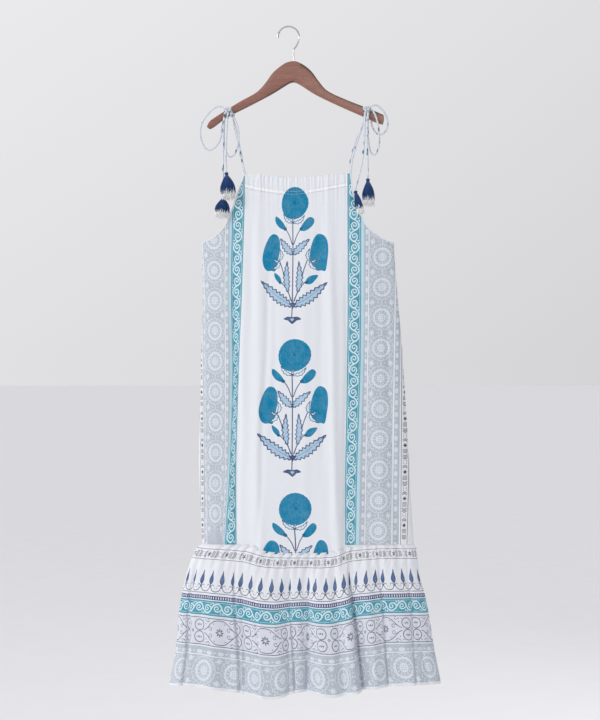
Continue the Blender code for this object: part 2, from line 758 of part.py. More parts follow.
def hanger_outline():
    """Smooth upper edge and the straighter lower edges, as one closed outline."""
    upper = smooth_route([(x, 0.0, z) for x, z in HANGER_TOP], OUTLINE_STEP)
    return [(p.x, p.z) for p in upper] + list(HANGER_UNDER)


def welded(made, collection):
    """The evaluated shape as a mesh object, with its caps joined to its sides."""
    bpy.context.view_layer.update()
    evaluated = made.evaluated_get(bpy.context.evaluated_depsgraph_get())
    mesh = bpy.data.meshes.new_from_object(evaluated)
    place = made.matrix_world.copy()
    name = made.name
    bpy.data.objects.remove(made)
    shape = bmesh.new()
    shape.from_mesh(mesh)
    bmesh.ops.remove_doubles(shape, verts=shape.verts, dist=1e-6)
    shape.to_mesh(mesh)
    shape.free()
    solid = bpy.data.objects.new(name, mesh)
    solid.matrix_world = place
    collection.objects.link(solid)
    return solid


def add_hanger(collection, cutters, wood):
    """Flat outline with rounded edges, its arms swept forward, drilled for the hook."""
    curve = bpy.data.curves.new("hanger_wood", "CURVE")
    curve.dimensions = "2D"
    curve.fill_mode = "BOTH"
    curve.extrude = HANGER_THICK / 2 - HANGER_ROUND
    curve.bevel_depth = HANGER_ROUND
    curve.bevel_resolution = 1
    curve.offset = -HANGER_ROUND
    spline = curve.splines.new("POLY")
    outline = hanger_outline()
    spline.points.add(len(outline) - 1)
    for target, (x, z) in zip(spline.points, outline):
        target.co = (x, z, 0.0, 1.0)
    spline.use_cyclic_u = True
    curve.materials.append(wood)
    flat = bpy.data.objects.new("hanger_wood", curve)
    flat.rotation_euler = (math.pi / 2, 0.0, 0.0)
    collection.objects.link(flat)
    body = welded(flat, collection)
    for vert in body.data.vertices:
        reach = (vert.co.x - HANGER_X) / HANGER_HALF
        vert.co.z += HANGER_SWEEP * reach * reach
    body.data.shade_smooth()
    body.data.set_sharp_from_angle(angle=math.radians(40))
    drill = bpy.data.meshes.new("hook_bore")
    shape = bmesh.new()
    bmesh.ops.create_cone(
        shape, cap_ends=True, segments=BORE_SIDES, radius1=WIRE_RADIUS + BORE_GAP,
        radius2=WIRE_RADIUS + BORE_GAP, depth=2 * (SHANK_DEPTH + SEAM),
    )
    bmesh.ops.translate(shape, vec=(HANGER_X, 0.0, WOOD_TOP_Z), verts=shape.verts)
    shape.to_mesh(drill)
    shape.free()
    cutter = bpy.data.objects.new("hook_bore", drill)
    cutter.hide_render = True
    cutter.display_type = "WIRE"
    cutters.objects.link(cutter)
    cut = body.modifiers.new("Bore", "BOOLEAN")
    cut.object = cutter
    cut.solver = "EXACT"


def hook_arc(start, end, step):
    centre_z = WIRE_RADIUS - HOOK_RADIUS
    count = max(2, round(abs(end - start) / step))
    points = []
    for i in range(count + 1):
        angle = math.radians(mix(start, end, i / count))
        points.append((HOOK_RADIUS * math.cos(angle), 0.0, centre_z + HOOK_RADIUS * math.sin(angle)))
    return points


def add_hook(collection, chrome):
    """The wire's ring and shank, and the sleeve on its tip."""
    tangent = math.radians(HOOK_END_ANGLE)
    arc = hook_arc(SLEEVE_ANGLE - SLEEVE_GAP_ANGLE, HOOK_END_ANGLE, ARC_STEP)
    along = Vector((math.sin(tangent), 0.0, -math.cos(tangent)))
    bend = [Vector((HANGER_X + across, 0.0, SHANK_BEND_Z + up)) for across, up in SHANK_BEND]
    foot = Vector((HANGER_X, 0.0, WOOD_TOP_Z - SHANK_DEPTH))
    wire = arc + [Vector(arc[-1]) + along * RING_EXIT] + bend + [foot]
    add_tube("hanger_hook", wire, WIRE_RADIUS, collection, chrome)
    sleeve = hook_arc(SLEEVE_END_ANGLE, SLEEVE_ANGLE, SLEEVE_ARC_STEP)
    add_tube("hook_sleeve", sleeve, SLEEVE_RADIUS, collection, chrome)


def build():
    clear_scene()
    collection = make_collection("printed_sundress_on_hanger")
    cutters = make_collection("cutters")
    cloth = make_material("printed_voile", "#EDEFF4", 0.85)
    plain = make_material("white_voile", "#F1F2F6", 0.85)
    cord = make_material("printed_cord", "#DDE1EA", 0.8)
    navy = make_material("navy_cotton", "#123F77", 0.9)
    white = make_material("white_cotton", "#E8E8E6", 0.9)
    wood = make_material("lacquered_wood", "#93604F", 0.35)
    chrome = make_material("chromed_wire", "#D8D8DA", 0.12, 1.0)

    add_body("body_front", FRONT_FOLDS, -1, FRONT_ROWS, collection, cloth)
    add_body("body_back", BACK_FOLDS, 1, BACK_ROWS, collection, cloth)
    add_neck("front", FRONT_FOLDS, -1, collection, plain)
    add_neck("back", BACK_FOLDS, 1, collection, plain)
    add_tier("tier_front", FRONT_FOLDS, FRONT_FLARES, -1, FRONT_TIER_ROWS, collection, cloth)
    add_tier("tier_back", BACK_FOLDS, BACK_FLARES, 1, BACK_TIER_ROWS, collection, cloth)
    for side in ("left", "right"):
        add_binding(side, collection, plain)
    for name, route in ROUTES + TAILS:
        add_tube(name, smooth_route(route, CORD_STEP), CORD_RADIUS, collection, cord)
    for side, centre, half_height, slope in WRAPS:
        add_wrap(side, centre, half_height, slope, collection, cord)
    for side, centre in KNOTS:
        add_knot(side, centre, collection, cord)
    for name, top, tip, flare in TASSELS:
        add_tassel(name, top, tip, flare, collection, navy, white)
    add_hanger(collection, cutters, wood)
    add_hook(collection, chrome)


build()
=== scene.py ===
"""Looks of a block-printed cotton sundress on a wooden hanger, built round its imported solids.

Lengths are metres and +Z is up. The dress faces -Y, and the origin is the underside of the hook's
crown. The print is drawn in millimetres on flat cloth and is carried to the hanging cloth by the
functions that shape each panel.
"""
import math

import bpy
import numpy as np
from bpy.props import FloatProperty, FloatVectorProperty, IntProperty, PointerProperty
from bpy.types import Operator, Panel, PropertyGroup
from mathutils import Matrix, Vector
from mathutils.geometry import delaunay_2d_cdt


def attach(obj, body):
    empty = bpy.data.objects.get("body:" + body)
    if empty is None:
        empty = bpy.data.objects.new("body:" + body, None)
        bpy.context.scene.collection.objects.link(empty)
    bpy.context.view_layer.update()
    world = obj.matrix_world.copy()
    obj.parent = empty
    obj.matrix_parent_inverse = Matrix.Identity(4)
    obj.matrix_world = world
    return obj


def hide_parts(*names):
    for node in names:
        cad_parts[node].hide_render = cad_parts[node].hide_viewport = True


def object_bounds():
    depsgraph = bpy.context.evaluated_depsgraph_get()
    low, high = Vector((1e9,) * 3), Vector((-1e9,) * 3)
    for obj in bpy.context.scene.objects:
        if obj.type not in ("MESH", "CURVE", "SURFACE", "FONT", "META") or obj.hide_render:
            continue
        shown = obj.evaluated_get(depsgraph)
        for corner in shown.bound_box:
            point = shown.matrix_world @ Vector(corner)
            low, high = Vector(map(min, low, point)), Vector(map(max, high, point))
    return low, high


bl_info = {
    "name": "Printed sundress on a hanger",
    "version": (1, 0, 0),
    "blender": (4, 5, 0),
    "location": "View3D > Sidebar > Sundress",
    "description": "Printed voile, cords, tassels, wood and wire round the packed solids",
    "category": "Object",
}

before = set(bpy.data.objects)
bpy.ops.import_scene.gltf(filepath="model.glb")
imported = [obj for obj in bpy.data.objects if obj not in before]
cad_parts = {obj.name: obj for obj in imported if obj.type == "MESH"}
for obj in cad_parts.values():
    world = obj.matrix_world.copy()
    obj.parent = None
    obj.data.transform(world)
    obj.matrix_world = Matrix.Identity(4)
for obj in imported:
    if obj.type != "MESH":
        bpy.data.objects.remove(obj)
CAD_BOX = [list(corner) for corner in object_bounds()]
BODY_NAME = "root"
MM = 0.001

# Cloth
MID_Y = -0.012
SEAM_HALF = 0.00034
ROUND_POWER = 4.0
CASING_HEIGHT = 0.008
BINDING_RADIUS = 0.0015
UNDERARM_EASE = 0.5
UNDERARM_POWER = 6
ARM_STEP = 0.003
SIDE_SHARES = (0.0006, 0.003, 0.008, 0.018, 0.032)

# Sides of the body: height, left edge, right edge, half depth
BODY = (
    (-0.33, -0.1965, 0.2385, 0.0095), (-0.492, -0.1965, 0.2385, 0.0125), (-0.613, -0.1935, 0.247, 0.0165),
    (-0.72, -0.197, 0.256, 0.019), (-0.822, -0.1985, 0.263, 0.0205), (-0.972, -0.203, 0.272, 0.0215),
    (-1.08, -0.199, 0.2775, 0.022), (-1.186, -0.1935, 0.285, 0.0225),
)

# Sides of the hem tier: share of the way down, left edge, right edge, half depth
TIER = (
    (0.0, -0.1935, 0.285, 0.0225), (0.03, -0.2075, 0.289, 0.024), (0.22, -0.23, 0.2965, 0.027),
    (0.46, -0.246, 0.314, 0.0295), (0.75, -0.2545, 0.329, 0.032), (1.0, -0.27, 0.345, 0.034),
)

# Armhole edge from the neck to the underarm: height, left edge, right edge
ARMHOLE = (
    (-0.3345, -0.099, 0.1405), (-0.38, -0.1145, 0.1452), (-0.432, -0.133, 0.165), (-0.46, -0.148, 0.183),
    (-0.481, -0.172, 0.213), (-0.492, -0.1965, 0.2385),
)

# Neckline: share across, top of the frill, top of the casing
NECK = (
    (0.0, -0.3345, -0.356), (0.14, -0.337, -0.3645), (0.35, -0.3425, -0.3725), (0.49, -0.3436, -0.3745),
    (0.67, -0.3407, -0.3692), (0.84, -0.3368, -0.3612), (1.0, -0.3345, -0.3545),
)

# Seam between body and tier: share across, height
TIER_SEAM = (
    (0.0, -1.1705), (0.23, -1.1725), (0.31, -1.185), (0.46, -1.1885), (0.62, -1.185), (0.7, -1.1735),
    (1.0, -1.1715),
)

# Hem: share across, height
HEM = (
    (0.0, -1.49), (0.1, -1.488), (0.24, -1.5), (0.38, -1.512), (0.48, -1.5), (0.6, -1.508), (0.69, -1.5),
    (0.74, -1.492), (0.87, -1.485), (1.0, -1.486),
)

# Folds of the body: share at the top, share at the hem, half width, edge softness, and how far
# it stands out at the top, in the middle and at the bottom
FRONT_FOLDS = (
    (0.47, 0.455, 0.215, 0.07, 0.001, 0.003, 0.006), (0.165, 0.165, 0.012, 0.035, -0.001, -0.0065, -0.003),
    (0.3, 0.275, 0.01, 0.06, 0.0025, 0.003, 0.004), (0.66, 0.64, 0.01, 0.05, 0.001, 0.003, 0.005),
    (0.85, 0.86, 0.015, 0.07, 0.0, 0.003, 0.004), (0.93, 0.92, 0.008, 0.03, 0.0, -0.003, -0.004),
    (0.08, 0.07, 0.01, 0.05, 0.0, 0.002, 0.004),
)
BACK_FOLDS = (
    (0.33, 0.3, 0.09, 0.07, 0.001, 0.0035, 0.006), (0.64, 0.68, 0.08, 0.07, 0.001, 0.003, 0.0055),
    (0.5, 0.49, 0.012, 0.04, -0.0005, -0.004, -0.003), (0.16, 0.14, 0.012, 0.05, 0.0, 0.003, 0.0035),
    (0.86, 0.88, 0.012, 0.05, 0.0, 0.003, 0.004),
)

# Folds of the tier: share at the seam, share at the hem, half width, edge softness, and how far
# it stands out at the seam and at the hem
FRONT_FLARES = (
    (0.115, 0.16, 0.03, 0.06, 0.003, 0.01), (0.235, 0.278, 0.004, 0.03, -0.002, -0.009),
    (0.33, 0.375, 0.055, 0.06, 0.004, 0.015), (0.43, 0.44, 0.004, 0.022, -0.0015, -0.006),
    (0.51, 0.5, 0.012, 0.035, -0.003, -0.011), (0.575, 0.59, 0.04, 0.045, 0.004, 0.013),
    (0.665, 0.68, 0.022, 0.035, 0.005, 0.015), (0.71, 0.722, 0.006, 0.026, -0.004, -0.011),
    (0.77, 0.76, 0.018, 0.04, 0.003, 0.01), (0.84, 0.815, 0.004, 0.024, -0.002, -0.007),
    (0.88, 0.9, 0.024, 0.05, 0.002, 0.007), (0.93, 0.955, 0.004, 0.02, -0.002, -0.006),
)
BACK_FLARES = (
    (0.13, 0.14, 0.035, 0.06, 0.003, 0.011), (0.23, 0.245, 0.005, 0.03, -0.002, -0.008),
    (0.35, 0.34, 0.045, 0.06, 0.004, 0.013), (0.45, 0.45, 0.005, 0.03, -0.002, -0.009),
    (0.55, 0.56, 0.045, 0.06, 0.003, 0.012), (0.66, 0.67, 0.005, 0.03, -0.002, -0.01),
    (0.75, 0.76, 0.035, 0.05, 0.004, 0.012), (0.85, 0.85, 0.005, 0.03, -0.002, -0.008),
    (0.92, 0.91, 0.02, 0.04, 0.002, 0.006),
)

# Soft creases of the body that the solids leave out: place across at the top and at the bottom,
# upper end, lower end, half width, and how far each stands out
FRONT_CREASES = (
    (-0.04, -0.07, -0.5, -1.188, 0.005, -0.0032), (0.133, 0.1255, -0.54, -1.188, 0.0034, -0.0044),
    (-0.1115, -0.1165, -0.64, -1.12, 0.004, -0.0055), (-0.1905, -0.189, -0.78, -1.188, 0.0022, -0.003),
    (-0.1, -0.103, -0.43, -1.0, 0.0085, 0.002), (-0.027, -0.033, -0.388, -0.96, 0.008, -0.0014),
    (0.033, 0.039, -0.392, -1.15, 0.01, 0.0014), (0.07, 0.0755, -0.386, -1.02, 0.0075, -0.0016),
    (0.096, 0.103, -0.41, -1.18, 0.007, 0.0018), (0.168, 0.176, -0.5, -1.18, 0.009, -0.0014),
    (0.21, 0.215, -0.54, -1.1, 0.008, 0.0014), (-0.16, -0.165, -0.55, -1.15, 0.0085, -0.0014),
    (-0.079, -0.086, -0.39, -0.7, 0.0055, -0.0012), (0.13, 0.133, -0.4, -0.64, 0.0055, -0.001),
)
BACK_CREASES = (
    (-0.095, -0.108, -0.56, -1.18, 0.006, -0.0026), (0.115, 0.125, -0.48, -1.15, 0.006, -0.0024),
    (-0.035, -0.025, -0.39, -0.9, 0.0085, -0.0015), (0.045, 0.05, -0.392, -1.1, 0.009, 0.0015),
    (0.082, 0.09, -0.388, -1.0, 0.007, -0.0016), (0.175, 0.19, -0.52, -1.16, 0.009, -0.0016),
    (-0.155, -0.15, -0.56, -1.12, 0.0085, 0.0014),
)

# Sharper creases of the tier: share at the seam, share at the hem, half width, depth at the hem
FRONT_TIER_CREASES = (
    (0.03, 0.052, 0.0046, -0.015), (0.195, 0.262, 0.0036, -0.008), (0.29, 0.33, 0.004, -0.003),
    (0.436, 0.462, 0.003, -0.007), (0.532, 0.504, 0.004, -0.008), (0.692, 0.71, 0.0034, -0.017),
    (0.832, 0.803, 0.003, -0.007), (0.96, 0.907, 0.0034, -0.006),
)
BACK_TIER_CREASES = (
    (0.06, 0.08, 0.0045, -0.007), (0.21, 0.24, 0.004, -0.007), (0.33, 0.345, 0.0034, -0.0045),
    (0.47, 0.45, 0.004, -0.008), (0.6, 0.59, 0.0036, -0.005), (0.7, 0.675, 0.0044, -0.008),
    (0.88, 0.86, 0.004, -0.0065),
)
CREASE_FADE = 0.12
NECK_FADE = 0.045
TIER_FADE = 0.030
FOOT_FADE = 0.014
CREASE_START = 0.3
CREASE_GROWTH = 1.4
TIER_BROAD = 0.0006
TIER_BROAD_FADE = 0.09

# Gathers
NECK_GATHERS = 23
FRILL_WAVE_FOOT = 0.0009
FRILL_WAVE_TOP = 0.0019
GATHER_UNEVENNESS = 0.25
TIER_GATHERS = 25
TIER_WAVE = 0.0026
TIER_WAVE_LENGTH = 0.11
JOIN_LENGTH = 0.08

# Flat cloth of the tier and how strongly its folds take the print in
TIER_WIDTH = 0.83
TIER_DROP = 0.313
FOLD_TAKE_UP = 2.4
MIDDLE_RISE = 0.015

# Where the body's print hangs: place on the flat cloth, then place across at five heights
LANE_HEIGHTS = (-0.400, -0.600, -0.780, -0.990, -1.170)
LANES = (
    (-0.3, -0.26, -0.245, -0.24, -0.24, -0.24), (-0.262, -0.229, -0.208, -0.202, -0.199, -0.1985),
    (-0.244, -0.212, -0.196, -0.192, -0.1895, -0.189),
    (-0.2286, -0.1985, -0.189, -0.1875, -0.1854, -0.183),
    (-0.1689, -0.142, -0.1438, -0.1425, -0.1425, -0.148),
    (-0.1494, -0.1265, -0.1294, -0.1262, -0.1321, -0.1432),
    (-0.118, -0.0991, -0.105, -0.112, -0.1181, -0.1172),
    (-0.036, -0.0192, -0.0254, -0.0278, -0.0294, -0.0243), (0.0, 0.0108, 0.0095, 0.0092, 0.0095, 0.0165),
    (0.036, 0.0408, 0.0474, 0.0468, 0.0458, 0.0505), (0.118, 0.1335, 0.1338, 0.1323, 0.1285, 0.1278),
    (0.1494, 0.164, 0.1635, 0.1617, 0.1547, 0.1513), (0.1689, 0.1835, 0.1818, 0.1791, 0.1755, 0.1725),
    (0.2286, 0.244, 0.2396, 0.2362, 0.2327, 0.23), (0.244, 0.26, 0.2575, 0.255, 0.2535, 0.252),
    (0.262, 0.278, 0.2765, 0.2735, 0.2722, 0.2674), (0.3, 0.316, 0.314, 0.311, 0.309, 0.305),
)

# How far the tier's print sits above its true place on the cloth: share across, millimetres
PRINT_RISE = (
    (0.0, 6.0), (0.15, 2.0), (0.24, 1.0), (0.3, 3.0), (0.46, 3.0), (0.62, 2.0), (0.7, 3.0), (0.845, 6.0),
    (1.0, 4.0),
)

# Hanger
HANGER_X = 0.0115
HANGER_THICK = 0.012
HANGER_SWEEP = 0.014
HANGER_HALF = 0.200
# Painted shade on the wooden body: how far right of the middle it starts on the upper edge, and the ring
# points it covers on the upper and the lower edge
SHADE_START = 0.012
RING_POINTS = 28
SHADED_UPPER_EDGE = range(2, 9)
SHADED_LOWER_EDGE = range(19, 24)
WIRE_RADIUS = 0.0019
HOOK_RADIUS = 0.0245
HOOK_END_ANGLE = -26.0
SLEEVE_ANGLE = 150.0
SLEEVE_END_ANGLE = 182.0
SLEEVE_RADIUS = 0.0029
SHANK_BEND_Z = -0.0535
WOOD_TOP_Z = -0.0769
SHANK_DEPTH = 0.012
RING_EXIT = 0.010
SHANK_BEND = ((0.0012, 0.0040), (0.0, -0.0005), (0.0, -0.010))

# Edges of the wooden body, from the left tip to the right tip: across, height
HANGER_TOP = (
    (-0.1848, -0.2285), (-0.1805, -0.219), (-0.1744, -0.2123), (-0.1346, -0.1855), (-0.107, -0.1681),
    (-0.0724, -0.148), (-0.0532, -0.1278), (-0.0369, -0.105), (-0.0174, -0.0878), (-0.0034, -0.0796),
    (0.0115, -0.0769), (0.0204, -0.0786), (0.0366, -0.0872), (0.0529, -0.1015), (0.0692, -0.124),
    (0.0869, -0.1439), (0.1285, -0.1647), (0.1701, -0.1819), (0.21, -0.1995), (0.2155, -0.2045),
    (0.216, -0.213),
)
HANGER_UNDER = (
    (-0.1848, -0.2285), (-0.1762, -0.233), (-0.1416, -0.2079), (-0.0896, -0.1803), (-0.0378, -0.1525),
    (0.003, -0.1275), (0.0115, -0.1255), (0.02, -0.1275), (0.0663, -0.1561), (0.1667, -0.2035),
    (0.2133, -0.2235), (0.216, -0.213),
)

# Cords
CORD_RADIUS = 0.0022
WRAP_TURNS = 1.9
WRAP_PITCH = 0.0056
WRAP_CLEAR = 0.0034
KNOT_SIZE = (0.0090, 0.0055, 0.0075)

# Where each bow's wrap crosses the wood: side, centre, half height of the wood across its grain,
# and the slope of the arm
WRAPS = (
    ("left", (-0.1330, -0.0073, -0.1940), 0.0084, 30.0),
    ("right", (0.1780, -0.0097, -0.1968), 0.0105, -24.0),
)
KNOTS = (
    ("left", (-0.1375, -0.0246, -0.1915)),
    ("right", (0.1765, -0.0270, -0.1900)),
)
STRAPS = (
    ("strap_front_left", (
        (-0.0988, -0.0213, -0.3332), (-0.1056, -0.0195, -0.299), (-0.114, -0.0158, -0.2556),
        (-0.1215, -0.0128, -0.224), (-0.1245, -0.0118, -0.209),
    )),
    ("strap_back_left", (
        (-0.0988, -0.0027, -0.3332), (-0.1068, -0.003, -0.299), (-0.116, -0.0032, -0.2556),
        (-0.1225, -0.0032, -0.225), (-0.125, -0.0032, -0.209),
    )),
    ("strap_front_right", (
        (0.1405, -0.0213, -0.3336), (0.144, -0.0205, -0.3031), (0.1561, -0.017, -0.2601),
        (0.167, -0.0145, -0.226), (0.1705, -0.014, -0.213),
    )),
    ("strap_back_right", (
        (0.1405, -0.0027, -0.3336), (0.1412, -0.0028, -0.3), (0.1525, -0.004, -0.2579),
        (0.165, -0.005, -0.226), (0.169, -0.0052, -0.213),
    )),
)
LOOPS = (
    ("loop_outer_left", (
        (-0.1456, -0.0248, -0.1864), (-0.156, -0.0242, -0.1834), (-0.169, -0.0232, -0.1885),
        (-0.1823, -0.0215, -0.201), (-0.1942, -0.018, -0.2174), (-0.1995, -0.013, -0.2357),
        (-0.1985, -0.008, -0.2538), (-0.1925, -0.004, -0.2701), (-0.1803, -0.001, -0.2796),
        (-0.1683, 0.0015, -0.273), (-0.1581, 0.0028, -0.2608), (-0.1531, 0.0034, -0.2457),
        (-0.1515, 0.0036, -0.2305), (-0.148, 0.0036, -0.215), (-0.144, 0.0036, -0.203),
    )),
    ("loop_inner_left", (
        (-0.1437, -0.0224, -0.1984), (-0.1446, -0.022, -0.214), (-0.1458, -0.02, -0.24),
        (-0.1451, -0.0195, -0.2669), (-0.1391, -0.0196, -0.289), (-0.1319, -0.02, -0.297),
        (-0.1219, -0.0206, -0.2911), (-0.115, -0.0212, -0.272), (-0.1126, -0.0214, -0.2457),
        (-0.118, -0.022, -0.22), (-0.1302, -0.0228, -0.1978),
    )),
    ("loop_outer_right", (
        (0.1838, -0.0268, -0.185), (0.193, -0.0258, -0.1808), (0.204, -0.023, -0.184),
        (0.216, -0.019, -0.1955), (0.2235, -0.015, -0.212), (0.224, -0.011, -0.228),
        (0.218, -0.007, -0.24), (0.2074, -0.004, -0.2447), (0.1965, -0.0005, -0.238),
        (0.1895, 0.002, -0.224), (0.188, 0.0028, -0.212),
    )),
    ("loop_inner_right", (
        (0.1862, -0.0258, -0.1912), (0.193, -0.0245, -0.1985), (0.2005, -0.024, -0.218),
        (0.2043, -0.0235, -0.2457), (0.203, -0.023, -0.276), (0.1945, -0.0228, -0.293),
        (0.185, -0.023, -0.285), (0.1803, -0.0235, -0.26), (0.179, -0.024, -0.23), (0.18, -0.0248, -0.199),
    )),
)
TAILS = (
    ("tail_left_long", (
        (-0.1424, -0.0278, -0.1982), (-0.1462, -0.0276, -0.22), (-0.1472, -0.0262, -0.255),
        (-0.1472, -0.0256, -0.2905), (-0.1474, -0.0254, -0.33), (-0.146, -0.0256, -0.3835),
    )),
    ("tail_left_short", (
        (-0.136, -0.028, -0.1993), (-0.138, -0.029, -0.22), (-0.1392, -0.03, -0.245),
        (-0.1402, -0.0306, -0.275), (-0.1408, -0.031, -0.3031), (-0.1398, -0.0312, -0.332),
    )),
    ("tail_right_long", (
        (0.1724, -0.029, -0.1974), (0.1716, -0.0298, -0.22), (0.1712, -0.03, -0.248),
        (0.169, -0.0302, -0.28), (0.1645, -0.0304, -0.3165), (0.157, -0.0308, -0.3468),
        (0.15, -0.0312, -0.373),
    )),
    ("tail_right_short", (
        (0.179, -0.03, -0.1985), (0.1776, -0.031, -0.22), (0.1768, -0.0316, -0.248),
        (0.1772, -0.0318, -0.28), (0.1782, -0.0318, -0.311), (0.1784, -0.0316, -0.346),
    )),
)

# Tassels: name, top of the head, tip of the axis, flare at the bottom
TASSELS = (
    ("tassel_left_short", (-0.1396, -0.0318, -0.3330), (-0.1345, -0.0400, -0.3830), 0.0165),
    ("tassel_left_long", (-0.1460, -0.0258, -0.3843), (-0.1492, -0.0285, -0.4235), 0.0160),
    ("tassel_right_short", (0.1785, -0.0316, -0.3468), (0.1800, -0.0325, -0.3960), 0.0135),
    ("tassel_right_long", (0.1501, -0.0313, -0.3744), (0.1600, -0.0355, -0.4150), 0.0080),
)
TASSEL_HEAD = 0.0044
TASSEL_NECK = 0.0040
TASSEL_HEAD_LENGTH = 0.010
TASSEL_FLAT = 0.45
TASSEL_BELL = 1.95
TUFT_LENGTH = 0.012

# Inks of the block print and the cloth under them: sRGB colour, and how much ground shows through
INKS = {
    "voile": ("#ECEEF3", 0.0),
    "voile_single": ("#ECEEF3", 0.0),
    "voile_folded": ("#FAFBFD", 0.0),
    "bloom_teal": ("#0A84AD", 0.04),
    "deep_teal": ("#05648C", 0.03),
    "border_teal": ("#429AAE", 0.07),
    "pale_cyan": ("#D6ECF4", 0.04),
    "pale_blue": ("#BFE0EE", 0.05),
    "leaf_blue": ("#AECBE2", 0.06),
    "outline_navy": ("#3C4F7C", 0.06),
    "print_grey": ("#B9C2CC", 0.09),
    "pale_grey": ("#DFE4EB", 0.04),
    "chevron_black": ("#2A2D3D", 0.06),
    "lilac_wash": ("#DEE1EA", 0.05),
    "vine_slate": ("#4C5272", 0.06),
    "bud_blue": ("#4A6B98", 0.06),
    "band_indigo": ("#41487F", 0.06),
}


def mix(a, b, t):
    return a + (b - a) * t


def ease(t):
    t = np.clip(t, 0.0, 1.0)
    return t * t * (3 - 2 * t)


def read_table(table, where, column):
    """A smooth curve through one column of a table, read at one place or at many."""
    rows = np.array(sorted(table))
    places, values = rows[:, 0], rows[:, column]
    last = len(places) - 1
    ends = [(max(k - 1, 0), min(k + 1, last)) for k in range(last + 1)]
    slopes = np.array([(values[b] - values[a]) / (places[b] - places[a]) for a, b in ends])
    where = np.clip(where, places[0], places[-1])
    i = np.clip(np.searchsorted(places, where, side="right") - 1, 0, last - 1)
    span = places[i + 1] - places[i]
    t = (where - places[i]) / span
    return (
        values[i] * (1 + 2 * t) * (1 - t) ** 2
        + slopes[i] * span * t * (1 - t) ** 2
        + values[i + 1] * t * t * (3 - 2 * t)
        + slopes[i + 1] * span * t * t * (t - 1)
    )


def bulge(share):
    """How full the flattened tube is: none at the side seams, all of it in the middle."""
    return np.sqrt(np.maximum(0.0, 1 - np.abs(2 * share - 1) ** ROUND_POWER))


def ridge(share, centre, half_width, softness):
    return ease((half_width - np.abs(share - centre)) / softness + 0.5)


def smooth_route(points, step):
    """Points at an even spacing on a smooth curve through the given ones."""
    given = [Vector(p) for p in points]
    ends = [2 * given[0] - given[1]] + given + [2 * given[-1] - given[-2]]
    fine = []
    for i in range(1, len(ends) - 2):
        a, b, c, d = ends[i - 1:i + 3]
        for k in range(12):
            t = k / 12
            fine.append(0.5 * (
                2 * b + (c - a) * t + (2 * a - 5 * b + 4 * c - d) * t * t
                + (3 * b - a - 3 * c + d) * t ** 3
            ))
    fine.append(given[-1])
    lengths = [0.0]
    for a, b in zip(fine, fine[1:]):
        lengths.append(lengths[-1] + (b - a).length)
    count = max(3, round(lengths[-1] / step))
    even, i = [], 0
    for k in range(count + 1):
        target = lengths[-1] * k / count
        while i < len(fine) - 2 and lengths[i + 1] < target:
            i += 1
        even.append(fine[i].lerp(fine[i + 1], (target - lengths[i]) / (lengths[i + 1] - lengths[i])))
    return even


def route_length(points):
    return sum((b - a).length for a, b in zip(points, points[1:]))


class Side:
    """One face of the dress: which way it looks, and its folds and creases."""

    def __init__(self, name, facing, folds, flares, creases, tier_creases, seed):
        self.name, self.facing, self.folds, self.flares = name, facing, folds, flares
        self.creases, self.tier_creases, self.seed = creases, tier_creases, seed


SIDES = (
    Side("front", -1, FRONT_FOLDS, FRONT_FLARES, FRONT_CREASES, FRONT_TIER_CREASES, 0.0),
    Side("back", 1, BACK_FOLDS, BACK_FLARES, BACK_CREASES, BACK_TIER_CREASES, 1.9),
)


def gathers(across, seed):
    """Fine gathers of uneven width along a gathering thread, from about -1 to 1."""
    turns = 2 * math.pi * across
    return (
        0.45 * np.sin(turns / 0.0095 + seed + 1.5 * np.sin(turns / 0.061))
        + 0.30 * np.sin(turns / 0.0063 + 2.1 * seed + 1.0)
        + 0.35 * np.sin(turns / 0.0171 + 0.7 * seed)
    )


def body_width(z):
    return read_table(BODY, z, 1), read_table(BODY, z, 2)


def body_share(x, z):
    left, right = body_width(z)
    return (x - left) / (right - left)


def fold_height(folds, share, down):
    """How far the body's folds stand out at a share across and a share of the way down."""
    total = 0.0
    for top, hem, half_width, softness, h_top, h_mid, h_low in folds:
        upper = mix(h_top, h_mid, ease(2 * down))
        lower = mix(h_mid, h_low, ease(2 * down - 1))
        height = np.where(down < 0.5, upper, lower)
        total = total + height * ridge(share, mix(top, hem, down), half_width, softness)
    return total


def crease_height(creases, x, z):
    total = 0.0
    for x_top, x_low, z_top, z_low, half_width, height in creases:
        along = (z_top - z) / (z_top - z_low)
        centre = mix(x_top, x_low, along) + 0.0015 * np.sin(21.0 * z + 40.0 * x_top)
        shown = ease((z_top - z) / CREASE_FADE) * ease((z - z_low) / CREASE_FADE + 0.35)
        total = total + height * shown * np.exp(-((x - centre) / half_width) ** 2)
    return total


def neck_place(x, z):
    """Share across the neckline at a height, from armhole to armhole."""
    left = np.interp(z, *EDGE_TABLE["left"])
    right = np.interp(z, *EDGE_TABLE["right"])
    return np.clip((x - left) / (right - left), 0.0, 1.0)


def neck_wave(share):
    """The header's larger gathers, which the solids have too."""
    place = share * NECK_GATHERS
    size = 1 - GATHER_UNEVENNESS * (1 - np.sin(5.1 * place + 1.7 * np.sin(0.9 * place)))
    return size * np.sin(2 * math.pi * place)


def body_out(x, z, side):
    """How far a body panel stands off the middle plane."""
    share = body_share(x, z)
    down = (BODY[0][0] - z) / (BODY[0][0] - BODY[-1][0])
    under_neck = np.exp(-np.maximum(0.0, NECK_FOOT - z) / NECK_FADE)
    seam = read_table(TIER_SEAM, share, 1)
    over_tier = np.exp(-np.maximum(0.0, z - seam) / FOOT_FADE)
    settings = bpy.context.scene.sundress_cloth
    detail = (
        settings.crease_depth * crease_height(side.creases, x, z)
        + settings.gather_depth * gathers(x, side.seed) * (0.0006 * under_neck + 0.0005 * over_tier)
        - 0.0009 * np.exp(-np.maximum(0.0, z - seam) / 0.004)
    )
    out = bulge(share) * (read_table(BODY, z, 3) + fold_height(side.folds, share, down) + detail)
    return SEAM_HALF + out


